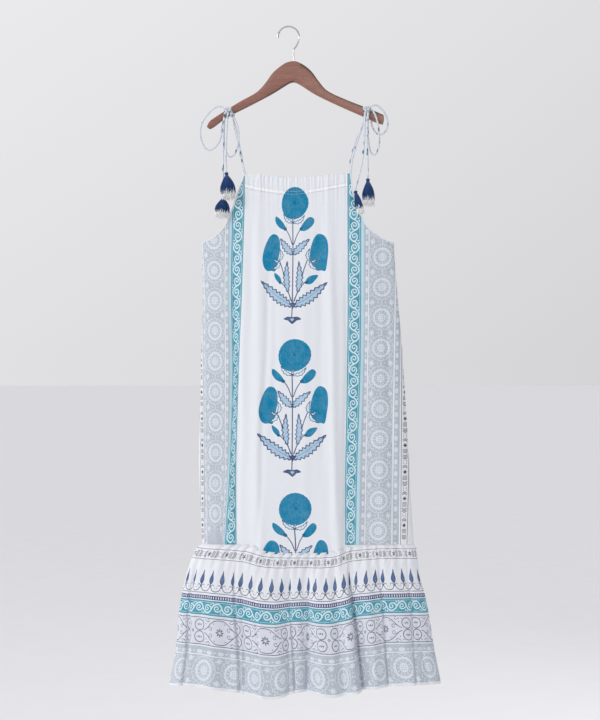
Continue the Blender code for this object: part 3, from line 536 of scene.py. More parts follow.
def body_place(x, z, side):
    return np.stack([x, MID_Y + side.facing * body_out(x, z, side), z], axis=-1)


def casing_place(x, z, side):
    share = neck_place(x, z)
    top = read_table(NECK, share, 2)
    across = np.clip((top - z) / CASING_HEIGHT, 0.0, 1.0)
    puff = 0.0006 * np.sin(math.pi * across) + 0.0002 * gathers(x, side.seed)
    return np.stack([x, MID_Y + side.facing * (body_out(x, z, side) + puff), z], axis=-1)


def frill_place(x, z, side):
    share = neck_place(x, z)
    foot, top = read_table(NECK, share, 2), read_table(NECK, share, 1)
    up = np.clip((z - foot) / (top - foot), 0.0, 1.0)
    big = mix(FRILL_WAVE_FOOT, FRILL_WAVE_TOP, up) * neck_wave(share)
    fine = mix(0.0001, 0.0004, up) * gathers(x + 0.0004 * np.sin(900 * z), side.seed + 0.4)
    ragged = 0.0007 * up * gathers(1.7 * x, side.seed + 2.0)
    y = MID_Y + side.facing * (body_out(x, z, side) + 0.2 * big + fine)
    return np.stack([x, y, z + ragged], axis=-1)


def armhole_edge(side, clearance):
    """The armhole's edge, moved into the cloth, as pairs of across and height."""
    column = 1 if side == "left" else 2
    path = smooth_route([(row[column], 0.0, row[0]) for row in ARMHOLE], ARM_STEP)
    inward = 1 if side == "left" else -1
    moved = []
    for i, point in enumerate(path):
        along = (path[min(i + 1, len(path) - 1)] - path[max(i - 1, 0)]).normalized()
        across = Vector((-along.z, 0.0, along.x)) * inward
        inset = clearance * (1 + UNDERARM_EASE * (i / (len(path) - 1)) ** UNDERARM_POWER)
        moved.append((point.x + across.x * inset, point.z + across.z * inset))
    moved[-1] = (path[-1].x, moved[-1][1])
    return moved


BOUND_EDGE = {side: armhole_edge(side, 0.0) for side in ("left", "right")}
CLOTH_EDGE = {side: armhole_edge(side, 0.5 * BINDING_RADIUS) for side in ("left", "right")}
EDGE_TABLE = {
    side: (np.array([z for _, z in edge[::-1]]), np.array([x for x, _ in edge[::-1]]))
    for side, edge in CLOTH_EDGE.items()
}
NECK_FOOT = read_table(NECK, 0.5, 2) - CASING_HEIGHT


def tier_heights(share):
    return read_table(TIER_SEAM, share, 1), read_table(HEM, share, 1)


def tier_out(share, down, side, fine=True):
    """How far the tier stands off the middle plane, a share across and a share of the way down."""
    top, hem = tier_heights(share)
    below = down * (top - hem)
    depth = read_table(TIER, down, 3)
    flare = 0.0
    for s_top, s_hem, half_width, softness, h_top, h_hem in side.flares:
        height = mix(h_top, h_hem, ease(down))
        flare = flare + height * ridge(share, mix(s_top, s_hem, down), half_width, softness)
    width = read_table(TIER, down, 2) - read_table(TIER, down, 1)
    settings = bpy.context.scene.sundress_cloth
    for s_top, s_hem, half_width, depth_hem in side.tier_creases:
        away = (share - mix(s_top, s_hem, down)) * width / half_width
        height = settings.crease_depth * depth_hem * mix(CREASE_START, 1.0, ease(CREASE_GROWTH * down))
        flare = flare + height * np.exp(-away ** 2)
    joined = ease(below / JOIN_LENGTH)
    body = read_table(BODY, top, 3) + fold_height(side.folds, share, np.ones_like(share))
    place = share * TIER_GATHERS
    size = 1 - GATHER_UNEVENNESS * (1 - np.sin(5.1 * place + 1.7 * np.sin(0.9 * place)))
    waves = TIER_WAVE * size * np.sin(2 * math.pi * place) * (1 - ease(below / TIER_WAVE_LENGTH))
    out = mix(body, depth + flare, joined) + 0.7 * waves
    if fine:
        x = share * width
        out = out + settings.gather_depth * 0.0011 * gathers(x, side.seed + 0.8) * np.exp(-below / TIER_FADE)
        broad = settings.gather_depth * TIER_BROAD * gathers(0.55 * x, side.seed + 3.0)
        out = out + broad * np.exp(-below / TIER_BROAD_FADE)
    return SEAM_HALF + bulge(share) * out


def tier_x(share, down):
    return mix(read_table(TIER, down, 1), read_table(TIER, down, 2), share)


class TierCloth:
    """Carries flat tier cloth to its gathered and folded place."""

    ROWS = 26
    COLUMNS = 1400

    def __init__(self, side):
        self.side = side
        self.shares = np.linspace(0.0, 1.0, self.COLUMNS)
        self.downs = np.linspace(0.0, 1.0, self.ROWS)
        self.taken = []
        for down in self.downs:
            level = np.full_like(self.shares, down)
            x = tier_x(self.shares, level)
            y = tier_out(self.shares, level, side, fine=False)
            inner = np.clip(np.gradient(y) / np.gradient(x), -1.2, 1.2)
            length = np.diff(x) * np.sqrt(1 + (FOLD_TAKE_UP * inner[1:]) ** 2)
            total = np.concatenate([[0.0], np.cumsum(length)])
            self.taken.append(total / total[-1] * TIER_WIDTH)

    def share(self, flat, down):
        """Share across of a place on the flat cloth."""
        row = np.clip(down, 0.0, 1.0) * (self.ROWS - 1)
        low = np.minimum(row.astype(int), self.ROWS - 2)
        found = np.zeros_like(flat)
        for k in range(self.ROWS - 1):
            here = low == k
            if here.any():
                upper = np.interp(flat[here], self.taken[k], self.shares)
                lower = np.interp(flat[here], self.taken[k + 1], self.shares)
                found[here] = mix(upper, lower, row[here] - k)
        return found

    def crease_points(self):
        """Places on the flat cloth close together across each sharp crease."""
        points = []
        for s_top, s_hem, half_width, _ in self.side.tier_creases:
            for i in range(4, 58):
                down = i / 60
                row = min(int(down * (self.ROWS - 1)), self.ROWS - 2)
                for k in range(-4, 5):
                    share = mix(s_top, s_hem, down) + 0.45 * k * half_width / 0.56
                    ends = [np.interp(share, self.shares, self.taken[r]) for r in (row, row + 1)]
                    points.append((float(mix(*ends, down * (self.ROWS - 1) - row)), -TIER_DROP * down))
        return [p for p in points if 0.002 < p[0] < TIER_WIDTH - 0.002]

    def place(self, flat, up):
        """Points in space of places on the flat cloth, whose height is 0 at the seam."""
        down = np.clip(-up / TIER_DROP, 0.0, 1.0)
        share = self.share(flat, down)
        top, hem = tier_heights(share)
        y = MID_Y + self.side.facing * tier_out(share, down, self.side)
        lower = down - MIDDLE_RISE * np.sin(math.pi * down)
        return np.stack([tier_x(share, down), y, mix(top, hem, lower)], axis=-1)


def lane_places(z):
    """Places across of the print's lanes at each height."""
    return [read_table(list(zip(LANE_HEIGHTS, lane[1:])), z, 1) for lane in LANES]


def hung_across(flat, z):
    """Where a place on the flat body cloth hangs, across the dress."""
    places = lane_places(z)
    x = np.full_like(flat, np.nan)
    for i in range(len(LANES) - 1):
        here = (flat >= LANES[i][0]) & (flat <= LANES[i + 1][0])
        t = (flat[here] - LANES[i][0]) / (LANES[i + 1][0] - LANES[i][0])
        x[here] = mix(places[i][here], places[i + 1][here], t)
    return x


def flat_across(x, z):
    """The place on the flat body cloth that hangs at a place across the dress."""
    places = lane_places(z)
    flat = np.full_like(x, LANES[-1][0])
    for i in range(len(LANES) - 1):
        here = (x >= places[i]) & (x <= places[i + 1])
        t = (x[here] - places[i][here]) / (places[i + 1][here] - places[i][here])
        flat[here] = mix(LANES[i][0], LANES[i + 1][0], t)
    return flat


def curve_through(points, steps=5, closed=False):
    """Points on a smooth flat curve through the given ones."""
    given = [Vector(p) for p in points]
    if closed:
        ends = [given[-1]] + given + given[:2]
    else:
        ends = [2 * given[0] - given[1]] + given + [2 * given[-1] - given[-2]]
    found = []
    for i in range(1, len(ends) - 2):
        a, b, c, d = ends[i - 1:i + 3]
        for k in range(steps):
            t = k / steps
            found.append(0.5 * (
                2 * b + (c - a) * t + (2 * a - 5 * b + 4 * c - d) * t * t
                + (3 * b - a - 3 * c + d) * t ** 3
            ))
    if not closed:
        found.append(given[-1])
    return [(p.x, p.y) for p in found]


class Print:
    """A block print on flat cloth: outlines in millimetres, each in one ink, the later over the earlier."""

    def __init__(self, longest, rise=None):
        self.outlines, self.inks = [], []
        self.longest, self.rise = longest, rise
        self.move(0.0, 0.0)

    def move(self, across, up, turn=0.0, flip=1):
        """Sets where the next outlines go, in millimetres, turned in degrees and mirrored by flip."""
        angle = math.radians(turn)
        self.spot = across, up, math.cos(angle), math.sin(angle), flip

    def shape(self, points, ink):
        """Lays one outline, with points along its long sides so that it can bend with the cloth."""
        across, up, c, s, flip = self.spot
        laid = [(across + flip * (c * x - s * y), up + s * x + c * y) for x, y in points]
        area = sum(a[0] * b[1] - b[0] * a[1] for a, b in zip(laid, laid[1:] + laid[:1]))
        laid = laid if area > 0 else laid[::-1]
        full = []
        for (ax, ay), (bx, by) in zip(laid, laid[1:] + laid[:1]):
            pieces = max(1, math.ceil(math.hypot(bx - ax, by - ay) / self.longest))
            full += [(mix(ax, bx, i / pieces), mix(ay, by, i / pieces)) for i in range(pieces)]
        if self.rise:
            full = [(x, y + self.rise(x, y)) for x, y in full]
        self.outlines.append([(x * MM, y * MM) for x, y in full])
        self.inks.append(ink)

    def box(self, left, low, right, high, ink):
        self.shape(((left, low), (right, low), (right, high), (left, high)), ink)

    def disc(self, x, y, radius, ink, sides=20, tall=None, lobes=0, lobe=0.0):
        tall = radius if tall is None else tall
        points = []
        for i in range(sides):
            angle = 2 * math.pi * i / sides
            reach = 1 + lobe * math.cos(lobes * angle)
            px, py = radius * reach * math.cos(angle), tall * reach * math.sin(angle)
            points.append((x + px, y + py))
        self.shape(points, ink)

    def petal(self, x, y, length, width, turn, ink):
        """A pointed petal from its root outwards."""
        c, s = math.cos(math.radians(turn)), math.sin(math.radians(turn))
        sides = ((0.0, 0.0), (0.35, 0.5), (0.7, 0.42), (1.0, 0.0), (0.7, -0.42), (0.35, -0.5))
        points = []
        for a, b in sides:
            points.append((x + c * a * length - s * b * width, y + s * a * length + c * b * width))
        self.shape(points, ink)

    def line(self, points, width, ink, taper=1.0, steps=5):
        """A printed line along a smooth curve, narrowing to a share of its width at its end."""
        path = curve_through(points, steps) if steps else list(points)
        left, right = [], []
        for i, (x, y) in enumerate(path):
            ax, ay = path[max(i - 1, 0)]
            bx, by = path[min(i + 1, len(path) - 1)]
            long = math.hypot(bx - ax, by - ay) or 1.0
            half = 0.5 * width * mix(1.0, taper, i / (len(path) - 1))
            nx, ny = -(by - ay) / long * half, (bx - ax) / long * half
            left.append((x + nx, y + ny))
            right.append((x - nx, y - ny))
        self.shape(left + right[::-1], ink)

    def leaf(self, base, bend, tip, width, teeth, edge, fill, edge_width=1.5):
        """A saw-edged leaf on a curved rib: its printed edge, then the fill inside it."""
        rib = curve_through((base, bend, tip), teeth)
        long = math.hypot(tip[0] - base[0], tip[1] - base[1])
        for inset, ink in ((0.0, edge), (edge_width, fill)):
            left, right = [], []
            trim = inset / long * 1.6
            for i, (x, y) in enumerate(rib):
                t = i / (len(rib) - 1)
                if not trim <= t <= 1 - trim:
                    continue
                ax, ay = rib[max(i - 1, 0)]
                bx, by = rib[min(i + 1, len(rib) - 1)]
                step = math.hypot(bx - ax, by - ay)
                tooth = 1 + (0.32 if i % 2 else -0.20)
                half = max(width * math.sin(math.pi * t ** 0.8) ** 0.75 * tooth * 0.5 - inset, 0.12)
                nx, ny = -(by - ay) / step * half, (bx - ax) / step * half
                left.append((x + nx, y + ny))
                right.append((x - nx, y - ny))
            self.shape(left + right[::-1], ink)


def print_bloom(design, x, y, across, tall):
    """A full poppy head with a dark eye and rings of stroked petals."""
    points = []
    for i in range(72):
        angle = 2 * math.pi * i / 72
        reach = 1 + 0.010 * math.cos(24 * angle) + 0.030 * math.sin(2 * angle) + 0.015 * math.cos(3 * angle)
        points.append((x + across * reach * math.cos(angle), y + tall * reach * math.sin(angle)))
    design.shape(points, "bloom_teal")
    for ring, (share, count) in enumerate(((0.30, 9), (0.52, 15), (0.76, 21))):
        for i in range(count):
            angle = 2 * math.pi * (i + 0.5 * (ring % 2)) / count
            px, py = x + share * across * math.cos(angle), y + share * tall * math.sin(angle)
            design.petal(px, py, 4.6, 1.0, math.degrees(angle), "deep_teal")
    design.disc(x, y + 1.0, 3.0, "deep_teal", 10)
    design.disc(x, y + 1.0, 1.3, "outline_navy", 8)


def print_side_flower(design, x, y, across, tall, lean):
    """A poppy seen from the side, its petals upright."""
    outline = (
        (0.05, 1.00), (0.55, 0.92), (0.92, 0.62), (1.02, 0.10), (0.92, -0.45), (0.74, -0.98),
        (0.30, -0.97), (-0.16, -0.98), (-0.60, -0.80), (-0.90, -0.38),
        (-0.86, 0.12), (-0.58, 0.62), (-0.30, 0.88),
    )
    points = [(x + across * a + lean * tall * b, y + tall * b) for a, b in outline]
    design.shape(curve_through(points, 3, closed=True), "bloom_teal")
    for row, up in enumerate((-0.55, -0.05, 0.42)):
        for i in range(5):
            a = -0.60 + 0.30 * i + 0.08 * (row % 2)
            design.petal(x + across * a + lean * tall * up, y + tall * up, 6.5, 1.1, 84 - 6 * i, "deep_teal")


def print_plant(design, across, up):
    """A flowering plant in the old block printers' manner: one head, two side flowers and buds."""
    design.move(across, up)
    navy, pale = "outline_navy", "leaf_blue"
    design.line(((-1, -48), (0, -100), (0, -170), (-1, -238)), 2.4, navy)
    for flip in (-1, 1):
        lift = 0 if flip < 0 else 1.5
        design.move(across, up, flip=flip)
        design.line(((17, -65), (9, -78), (1.5, -98)), 2.0, navy)
        design.line(((33, -132), (24, -156), (20, -173), (11, -202), (3, -226)), 2.1, navy)
        design.line(((27, -183 + lift), (14, -198), (2, -226)), 2.1, navy)
        design.leaf((0.5, -121), (17, -104), (36 + 4 * flip, -83 - lift), 15.5, 6, navy, pale, 2.4)
        design.leaf((11, -206), (15, -172), (13.5, -134), 13.5, 7, navy, pale, 2.3)
        design.leaf((0.5, -238), (37, -214 - lift), (75, -179 - 2 * lift), 21.0, 9, navy, pale, 3.2)
        design.line(((2, -236), (37, -213 - lift), (66, -187 - lift)), 0.9, navy, 0.5)
        bud = ((17, -65), (22, -54), (31, -43), (42, -35), (50, -40), (49, -50), (41, -60), (29, -67))
        if flip < 0:
            bud = ((17, -64), (26, -48), (43, -34), (45, -45), (38, -57), (28, -63))
        design.shape(curve_through(bud, 3, closed=True), "bloom_teal")
        design.petal(16, -66, 11, 8, 42, "deep_teal")
        low = ((27, -185), (32, -173), (42, -167), (55, -167), (47, -180), (38, -187))
        if flip < 0:
            low = ((27, -185), (29, -172), (43, -161), (42, -172), (35, -182))
        design.shape(curve_through(low, 3, closed=True), "bloom_teal")
        design.petal(26, -186, 9, 7, 38, "deep_teal")
    design.move(across, up)
    print_side_flower(design, -53, -116, 20.0, 42, 0.08)
    print_side_flower(design, 57, -115, 20.0, 42, 0.02)
    for flip, x in ((-1, 31), (1, 37)):
        design.move(across, up, flip=flip)
        for sepal in (
            ((x + 1, -134), (x - 4, -122), (x + 2, -106)),
            ((x + 1, -134), (x + 5, -147), (x + 19, -154)),
            ((x + 2, -134), (x + 9, -136), (x + 16, -127)),
        ):
            self_width = 7.5 if sepal[2][1] != -127 else 5.0
            design.leaf(*sepal, self_width, 5, navy, "pale_cyan", 1.5)
    design.move(across, up)
    print_bloom(design, 4, -4, 35.5, 36.5)
    for tip, bend in (((-26, -27), (-16, -42)), ((30, -31), (18, -45)), ((3, -35), (0, -42))):
        design.leaf((-1, -49), bend, tip, 8.0 if abs(tip[0]) > 5 else 5.0, 5, navy, "pale_cyan", 1.6)
    design.shape(((-7, -232), (0, -226), (7, -232), (0, -243)), navy)
    design.line(((-1, -240), (-1.5, -252), (-2, -262)), 2.2, navy)
    foot = (
        (-21, -266), (-11, -260), (-1, -261.5), (10, -260), (19, -266), (8, -269), (-1, -277), (-10, -269))
    design.shape(curve_through(foot, 2, closed=True), navy)
    design.shape(((-6, -265), (-1, -264), (4, -265), (-1, -271)), pale)


def print_rosette(design, ground, pale):
    """One rosette of rings, petals and a dotted eye."""
    design.disc(0, 0, 29.0, pale, 32)
    design.disc(0, 0, 27.6, ground, 32)
    for i in range(16):
        angle = 360 * (i + 0.5) / 16
        c, s = math.cos(math.radians(angle)), math.sin(math.radians(angle))
        design.petal(22.6 * c, 22.6 * s, 4.2, 2.2, angle, pale)
    design.disc(0, 0, 21.4, pale, 64, lobes=16, lobe=0.055)
    design.disc(0, 0, 15.9, ground, 28)
    for i in range(12):
        angle = 360 * i / 12
        c, s = math.cos(math.radians(angle)), math.sin(math.radians(angle))
        design.petal(10.6 * c, 10.6 * s, 4.2, 3.0, angle, pale)
    design.disc(0, 0, 9.4, pale, 20)
    for x in (-4.2, 0.0, 4.2):
        for y in (-4.2, 0.0, 4.2):
            design.disc(x, y, 1.25, ground, 6)


def print_sprigs(design, half_pitch, half_width, pale):
    """Curling sprigs that fill the corners between two rosettes."""
    for side in (-1, 1):
        x = side * (half_width - 7.5)
        for turn, length in ((90, 9.5), (-90, 9.5), (150, 7), (30, 7), (-150, 7), (-30, 7)):
            lean = turn + side * 14
            design.petal(x, half_pitch, length, 3.4, lean, pale)
        for up in (-15, 15):
            design.disc(side * (half_width - 3.6), half_pitch + up, 1.7, pale, 8)
            design.petal(side * (half_width - 9.5), half_pitch + 0.8 * up, 4.6, 2.4, 90 + side * 40, pale)
    design.petal(0, half_pitch, 4.6, 3.2, 90, pale)
    design.petal(0, half_pitch, 4.6, 3.2, -90, pale)
    design.disc(-8.5, half_pitch, 1.6, pale, 8)
    design.disc(8.5, half_pitch, 1.6, pale, 8)


def print_scroll(design, flip, pale):
    """Half a wave of a running vine, with the shoot that curls back inside its bend."""
    vine = ((-1.5 * flip, -12.6), (5.0 * flip, -9.6), (9.4 * flip, -4.2), (10.0 * flip, 1.2),
            (7.4 * flip, 7.6), (1.5 * flip, 12.6))
    design.line(vine, 3.3, pale, 1.0, steps=3)
    shoot = [(2.6 * flip, -11.4), (-3.0 * flip, -9.6)]
    for i in range(13):
        angle = math.radians(212 - 36 * i)
        reach = mix(8.0, 1.7, (i / 12) ** 0.8)
        shoot.append((flip * (0.3 + reach * math.cos(angle)), 0.4 + reach * math.sin(angle)))
    design.line(shoot, 3.0, pale, 0.8, steps=1)
    design.petal(-6.5 * flip, -10.6, 5.4, 3.4, 90 + 70 * flip, pale)
    design.petal(9.9 * flip, 8.0, 5.0, 3.2, 90 - 24 * flip, pale)


def print_lens_row(design, x, length, pale, start, end, pitch=26.6):
    """A row of long pale lobes down a narrow strip."""
    up = start
    while up > end:
        design.disc(x, up - pitch / 2, 3.1, pale, 12, tall=length)
        design.disc(x - 0.8, up, 1.2, pale, 8, tall=2.4)
        up -= pitch


def print_text_strip(design, unit, half, ink):
    """One length of the narrow strip: chevrons, bars, a floret and dots across a strip that runs up."""
    for k in range(3):
        y = -unit / 2 + 3.4 * k
        design.shape(
            ((-half, y + 3.0), (0, y), (half, y + 3.0), (half, y + 4.6), (0, y + 1.7), (-half, y + 4.6)), ink)
    for k in range(4):
        design.box(-half, -unit / 2 + 14.5 + 2.6 * k, half, -unit / 2 + 15.6 + 2.6 * k, ink)
    for angle in range(0, 360, 60):
        design.petal(0, -unit / 2 + 32, half * 0.95, 2.2, angle, ink)
    for k in range(2):
        y = -unit / 2 + 40 + 3.4 * k
        design.shape(
            ((-half, y), (0, y + 3.0), (half, y), (half, y + 1.6), (0, y + 4.7), (-half, y + 1.6)), ink)
    for k in range(3):
        for x in (-0.6 * half, 0.6 * half):
            design.disc(x, -unit / 2 + 51 + 3.4 * k, 0.9, ink, 6)


BODY_BANDS_TOP = -320.0
BODY_BANDS_END = -1171.0
HEM_BAND_END = -307.5
HEM_EASE = 45.0


def body_print():
    """The body's design: three plants down the middle and matching bands up both sides."""
    design = Print(7.0)
    top, end = BODY_BANDS_TOP, BODY_BANDS_END
    for flip, first_rosette in ((1, -454.5), (-1, -484.5)):
        design.move(0, 0, flip=flip)
        design.box(117.6, end, 149.4, top, "border_teal")
        design.box(120.6, end, 121.5, top, "pale_cyan")
        design.box(145.7, end, 146.6, top, "pale_cyan")
        design.box(149.4, end, 155.8, top, "pale_blue")
        design.box(155.8, end, 166.6, top, "print_grey")
        print_lens_row(design, 162.8, 6.4, "pale_grey", top, end)
        design.box(168.9, end, 228.8, top, "print_grey")
        design.box(231.6, end, 241.5, top, "print_grey")
        print_lens_row(design, 235.4, 6.4, "pale_grey", top - 13.0, end)
        design.box(244.0, end, 245.1, top, "chevron_black")
        design.box(261.0, end, 262.1, top, "chevron_black")
        turn, up = 0, top - 6.0
        while up > end + 8:
            design.move(flip * 133.6, up, flip=flip)
            print_scroll(design, 1 if turn % 2 else -1, "pale_cyan")
            turn, up = turn + 1, up - 25.1
        up = first_rosette + 2 * 68.5
        while up > end + 20:
            design.move(flip * 198.8, up, flip=flip)
            print_rosette(design, "print_grey", "pale_grey")
            print_sprigs(design, -34.25, 29.9, "pale_grey")
            up -= 68.5
        up = top
        while up > end + 30:
            design.move(flip * 253.0, up - 30.0)
            print_text_strip(design, 60.0, 5.4, "chevron_black")
            up -= 60.0
    for up in (-398.0, -741.0, -1086.0):
        print_plant(design, 0.0, up)
    return design


def print_rise(across, up):
    """How far the tier's print is raised, in millimetres, at a place on its flat cloth."""
    above_hem = min(1.0, max(0.0, (up - HEM_BAND_END) / HEM_EASE))
    return float(read_table(PRINT_RISE, across * MM / TIER_WIDTH, 1)) * above_hem


def tier_print():
    """The tier's design: bands of strips, buds, scrolls, vine and rosettes, from the seam down."""
    design = Print(4.0, print_rise)
    wide = TIER_WIDTH / MM
    for up in (-14.6, -37.6):
        design.box(0, up - 0.5, wide, up + 0.5, "chevron_black")
    for k in range(int(wide / 60) + 1):
        design.move(60.0 * k + 12.0, -26.1, turn=90)
        print_text_strip(design, 60.0, 7.4, "chevron_black")
    count = 27
    pitch = wide / count
    for k in range(count):
        design.move(pitch * (k + 0.5), 0.0)
        flame = ((0, -60), (2.6, -70), (5.8, -79), (6.4, -86), (3.4, -92), (0, -94), (-3.4, -92), (-6.4, -86),
                 (-5.8, -79), (-2.6, -70))
        heart = (
            (0, -67), (2.2, -75), (4.0, -83), (2.6, -89), (0, -91), (-2.6, -89), (-4.0, -83), (-2.2, -75))
        design.shape(curve_through(flame, 2, closed=True), "outline_navy")
        design.shape(curve_through(heart, 2, closed=True), "bud_blue")
        for flip in (-1, 1):
            design.move(pitch * (k + 0.5), 0.0, flip=flip)
            design.line(((0, -92), (1.5, -99), (7.0, -107), (pitch / 2 + 0.5, -109.4)), 1.7, "vine_slate")
            design.line(((0, -101), (4.5, -95.0), (9.0, -94.5), (10.0, -98.0)), 1.6, "vine_slate", 0.7)
            design.disc(12.6, -101.0, 1.1, "vine_slate", 6)
    design.move(0, 0)
    design.box(0, -113.6, wide, -112.2, "vine_slate")
    design.box(0, -127.2, wide, -118.3, "band_indigo")
    for k in range(int(wide / 6.2)):
        design.box(6.2 * k + 1.6, -125.4, 6.2 * k + 4.2, -120.1, "pale_grey")
    design.box(0, -162.2, wide, -129.4, "border_teal")
    design.box(0, -133.6, wide, -132.9, "pale_cyan")
    design.box(0, -158.6, wide, -157.9, "pale_cyan")
    for k in range(int(wide / 25.1) + 1):
        design.move(25.1 * k + 6.0, -145.7, turn=90)
        print_scroll(design, 1 if k % 2 else -1, "pale_cyan")
    design.move(0, 0)
    design.box(0, -228.0, wide, -164.0, "lilac_wash")
    design.box(0, -168.6, wide, -167.2, "vine_slate")
    design.box(0, -226.6, wide, -225.2, "vine_slate")
    for k in range(6):
        print_medallion(design, wide * (k + 0.5) / 6, -196.9)
    design.move(0, 0)
    design.box(0, -246.3, wide, -229.8, "print_grey")
    for k in range(int(wide / 26.6) + 1):
        design.disc(26.6 * k + 8.0, -241.0, 7.4, "pale_grey", 12, tall=4.2)
        design.disc(26.6 * k + 21.3, -240.0, 2.6, "pale_grey", 8, tall=1.6)
    design.box(0, HEM_BAND_END, wide, -248.6, "print_grey")
    for k in range(12):
        design.move(wide * (k + 0.5) / 12, -278.4, turn=90)
        print_rosette(design, "print_grey", "pale_grey")
        print_sprigs(design, wide / 24, 29.6, "pale_grey")
    return design


def print_medallion(design, across, up):
    """One length of the vine band: paired rings, a lens of two stems round a star, and seeds."""
    ink = "vine_slate"
    for flip in (-1, 1):
        for rise in (-1, 1):
            design.move(across, up, flip=flip)
            design.disc(17.0, rise * 12.8, 12.6, ink, 26)
            design.disc(17.0, rise * 12.8, 11.0, "lilac_wash", 26)
            for turn in (60, 90, 120):
                x = 17.0 + 5.0 * math.cos(math.radians(turn))
                design.petal(x, rise * 11.0, 5.2, 2.4, rise * turn, ink)
            stem = ((30, rise * 3), (38, rise * 7), (48, rise * 17), (58, rise * 24), (69.5, rise * 26))
            design.line(stem, 1.5, ink)
            design.line(((34, rise * 25), (42, rise * 21), (46, rise * 25)), 1.2, ink)
            curl = [(40, rise * 9)]
            for i in range(9):
                angle = math.radians(150 - 50 * i)
                reach = mix(5.4, 1.5, i / 8)
                curl.append((48 + reach * math.cos(angle), rise * (6.5 + reach * math.sin(angle))))
            design.line(curl, 1.3, ink, 0.7, steps=1)
            for x, y in ((34, 15), (41, 26), (55, 17), (27, 22)):
                design.petal(x, rise * y, 3.6, 1.9, 40 * rise, ink)
    design.move(across, up)
    design.shape(((-3.4, 0), (0, -3.8), (3.4, 0), (0, 3.8)), ink)
    design.shape(((-1.7, 0), (0, -2.0), (1.7, 0), (0, 2.0)), "lilac_wash")
    for side in (-69.1, 69.1):
        for k in range(8):
            angle = math.radians(45 * k)
            design.petal(side + 2.2 * math.cos(angle), 2.2 * math.sin(angle), 7.6, 3.0, 45 * k, ink)


def srgb(code):
    """A linear colour from an sRGB hex value."""
    channels = [int(code[i:i + 2], 16) / 255 for i in (1, 3, 5)]
    return tuple(c / 12.92 if c <= 0.04045 else ((c + 0.055) / 1.055) ** 2.4 for c in channels)


def add_node(tree, kind, settings=None, **inputs):
    """Adds a node. An input is a value, or an output of another node to link."""
    made = tree.nodes.new(kind)
    for name, value in (settings or {}).items():
        setattr(made, name, value)
    for name, value in inputs.items():
        socket = made.inputs[int(name[1:])] if name[0] == "_" else made.inputs[name.replace("_", " ")]
        if isinstance(value, bpy.types.NodeSocket):
            tree.links.new(value, socket)
        else:
            socket.default_value = value
    return made


LACQUER = {"Coat_Weight": 0.45, "Coat_Roughness": 0.18}
SIDE_SLOPE = -0.20
SIDE_CURVE = -0.34


def new_material(name, roughness, **sockets):
    """A material with its Principled shader's plain values set, and a place to draw it from."""
    made = bpy.data.materials.new(name)
    made.use_nodes = True
    tree = made.node_tree
    shader = tree.nodes["Principled BSDF"]
    shader.inputs["Roughness"].default_value = roughness
    for socket, value in sockets.items():
        shader.inputs[socket.replace("_", " ")].default_value = value
    return made, tree, shader, add_node(tree, "ShaderNodeTexCoord").outputs["Object"]


def noise(tree, place, scale, detail, **more):
    made = add_node(tree, "ShaderNodeTexNoise", None, Vector=place, Scale=scale, Detail=detail, **more)
    return made.outputs["Fac"]


def stretch(tree, place, scale):
    return add_node(tree, "ShaderNodeMapping", None, Vector=place, Scale=scale).outputs[0]


def number(tree, operation, *values):
    """One step of arithmetic on values and other nodes' outputs."""
    inputs = {f"_{i}": value for i, value in enumerate(values)}
    return add_node(tree, "ShaderNodeMath", {"operation": operation}, **inputs).outputs[0]


def spread(tree, value, low, high, first, last):
    """A value from low to high, carried over to first to last."""
    made = add_node(tree, "ShaderNodeMapRange", None, Value=value, _1=low, _2=high, _3=first, _4=last)
    return made.outputs[0]


def blend(tree, factor, *colours):
    """A colour between two: hex values, linear colours or other nodes' outputs."""
    ends = []
    for colour in colours:
        if isinstance(colour, bpy.types.NodeSocket):
            ends.append(colour)
        else:
            ends.append((*(srgb(colour) if isinstance(colour, str) else colour), 1.0))
    made = add_node(tree, "ShaderNodeMix", {"data_type": "RGBA"}, _0=factor, _6=ends[0], _7=ends[1])
    return made.outputs[2]


def lay_colour(tree, shader, factor, *colours):
    tree.links.new(blend(tree, factor, *colours), shader.inputs["Base Color"])


def lay_bump(tree, shader, height, strength, distance):
    bump = add_node(tree, "ShaderNodeBump", None, Height=height, Strength=strength, Distance=distance)
    tree.links.new(bump.outputs["Normal"], shader.inputs["Normal"])


def voile_surface(tree, shader, place, strength):
    """Plain weave and soft crumpling, drawn about three times as coarse as 0.3 mm threads to show."""
    threads = []
    for way in ("X", "Z"):
        wave = add_node(tree, "ShaderNodeTexWave", {"wave_type": "BANDS", "bands_direction": way},
                        Vector=place, Scale=330.0, Distortion=1.2, Detail=1.0)
        threads.append(wave.outputs["Fac"])
    crumple = noise(tree, place, 95.0, 3.0, Roughness=0.6)
    height = number(tree, "MULTIPLY_ADD", crumple, 5.0, number(tree, "ADD", *threads))
    lay_bump(tree, shader, height, strength, 0.0003)


def printed_voile(name, code, patchy):
    """Cotton voile printed by hand with carved blocks: matt, the ink thin where the block missed."""
    made, tree, shader, place = new_material(
        "cotton_voile_" + name, 0.88, Specular_IOR_Level=0.2, Sheen_Weight=0.05, Sheen_Roughness=0.5)
    speckle = noise(tree, stretch(tree, place, (1.0, 1.0, 0.22)), 620.0, 2.0)
    both = number(tree, "MULTIPLY", speckle, noise(tree, place, 58.0, 3.0))
    missed = spread(tree, both, 0.16, 0.40, 0.0, max(patchy * 2.2, 0.05))
    lay_colour(tree, shader, missed, code, code if name.startswith("voile") else "#EEF0F5")
    voile_surface(tree, shader, place, 0.35)
    return made


def plain_voile(name, code, strength):
    """Undyed cotton voile, folded or gathered thick: matt and slightly grey in random patches."""
    made, tree, shader, place = new_material(name, 0.9, Specular_IOR_Level=0.25, Sheen_Weight=0.12)
    lay_colour(tree, shader, noise(tree, place, 140.0, 3.0), code, "#DFE3EA")
    voile_surface(tree, shader, place, strength)
    return made


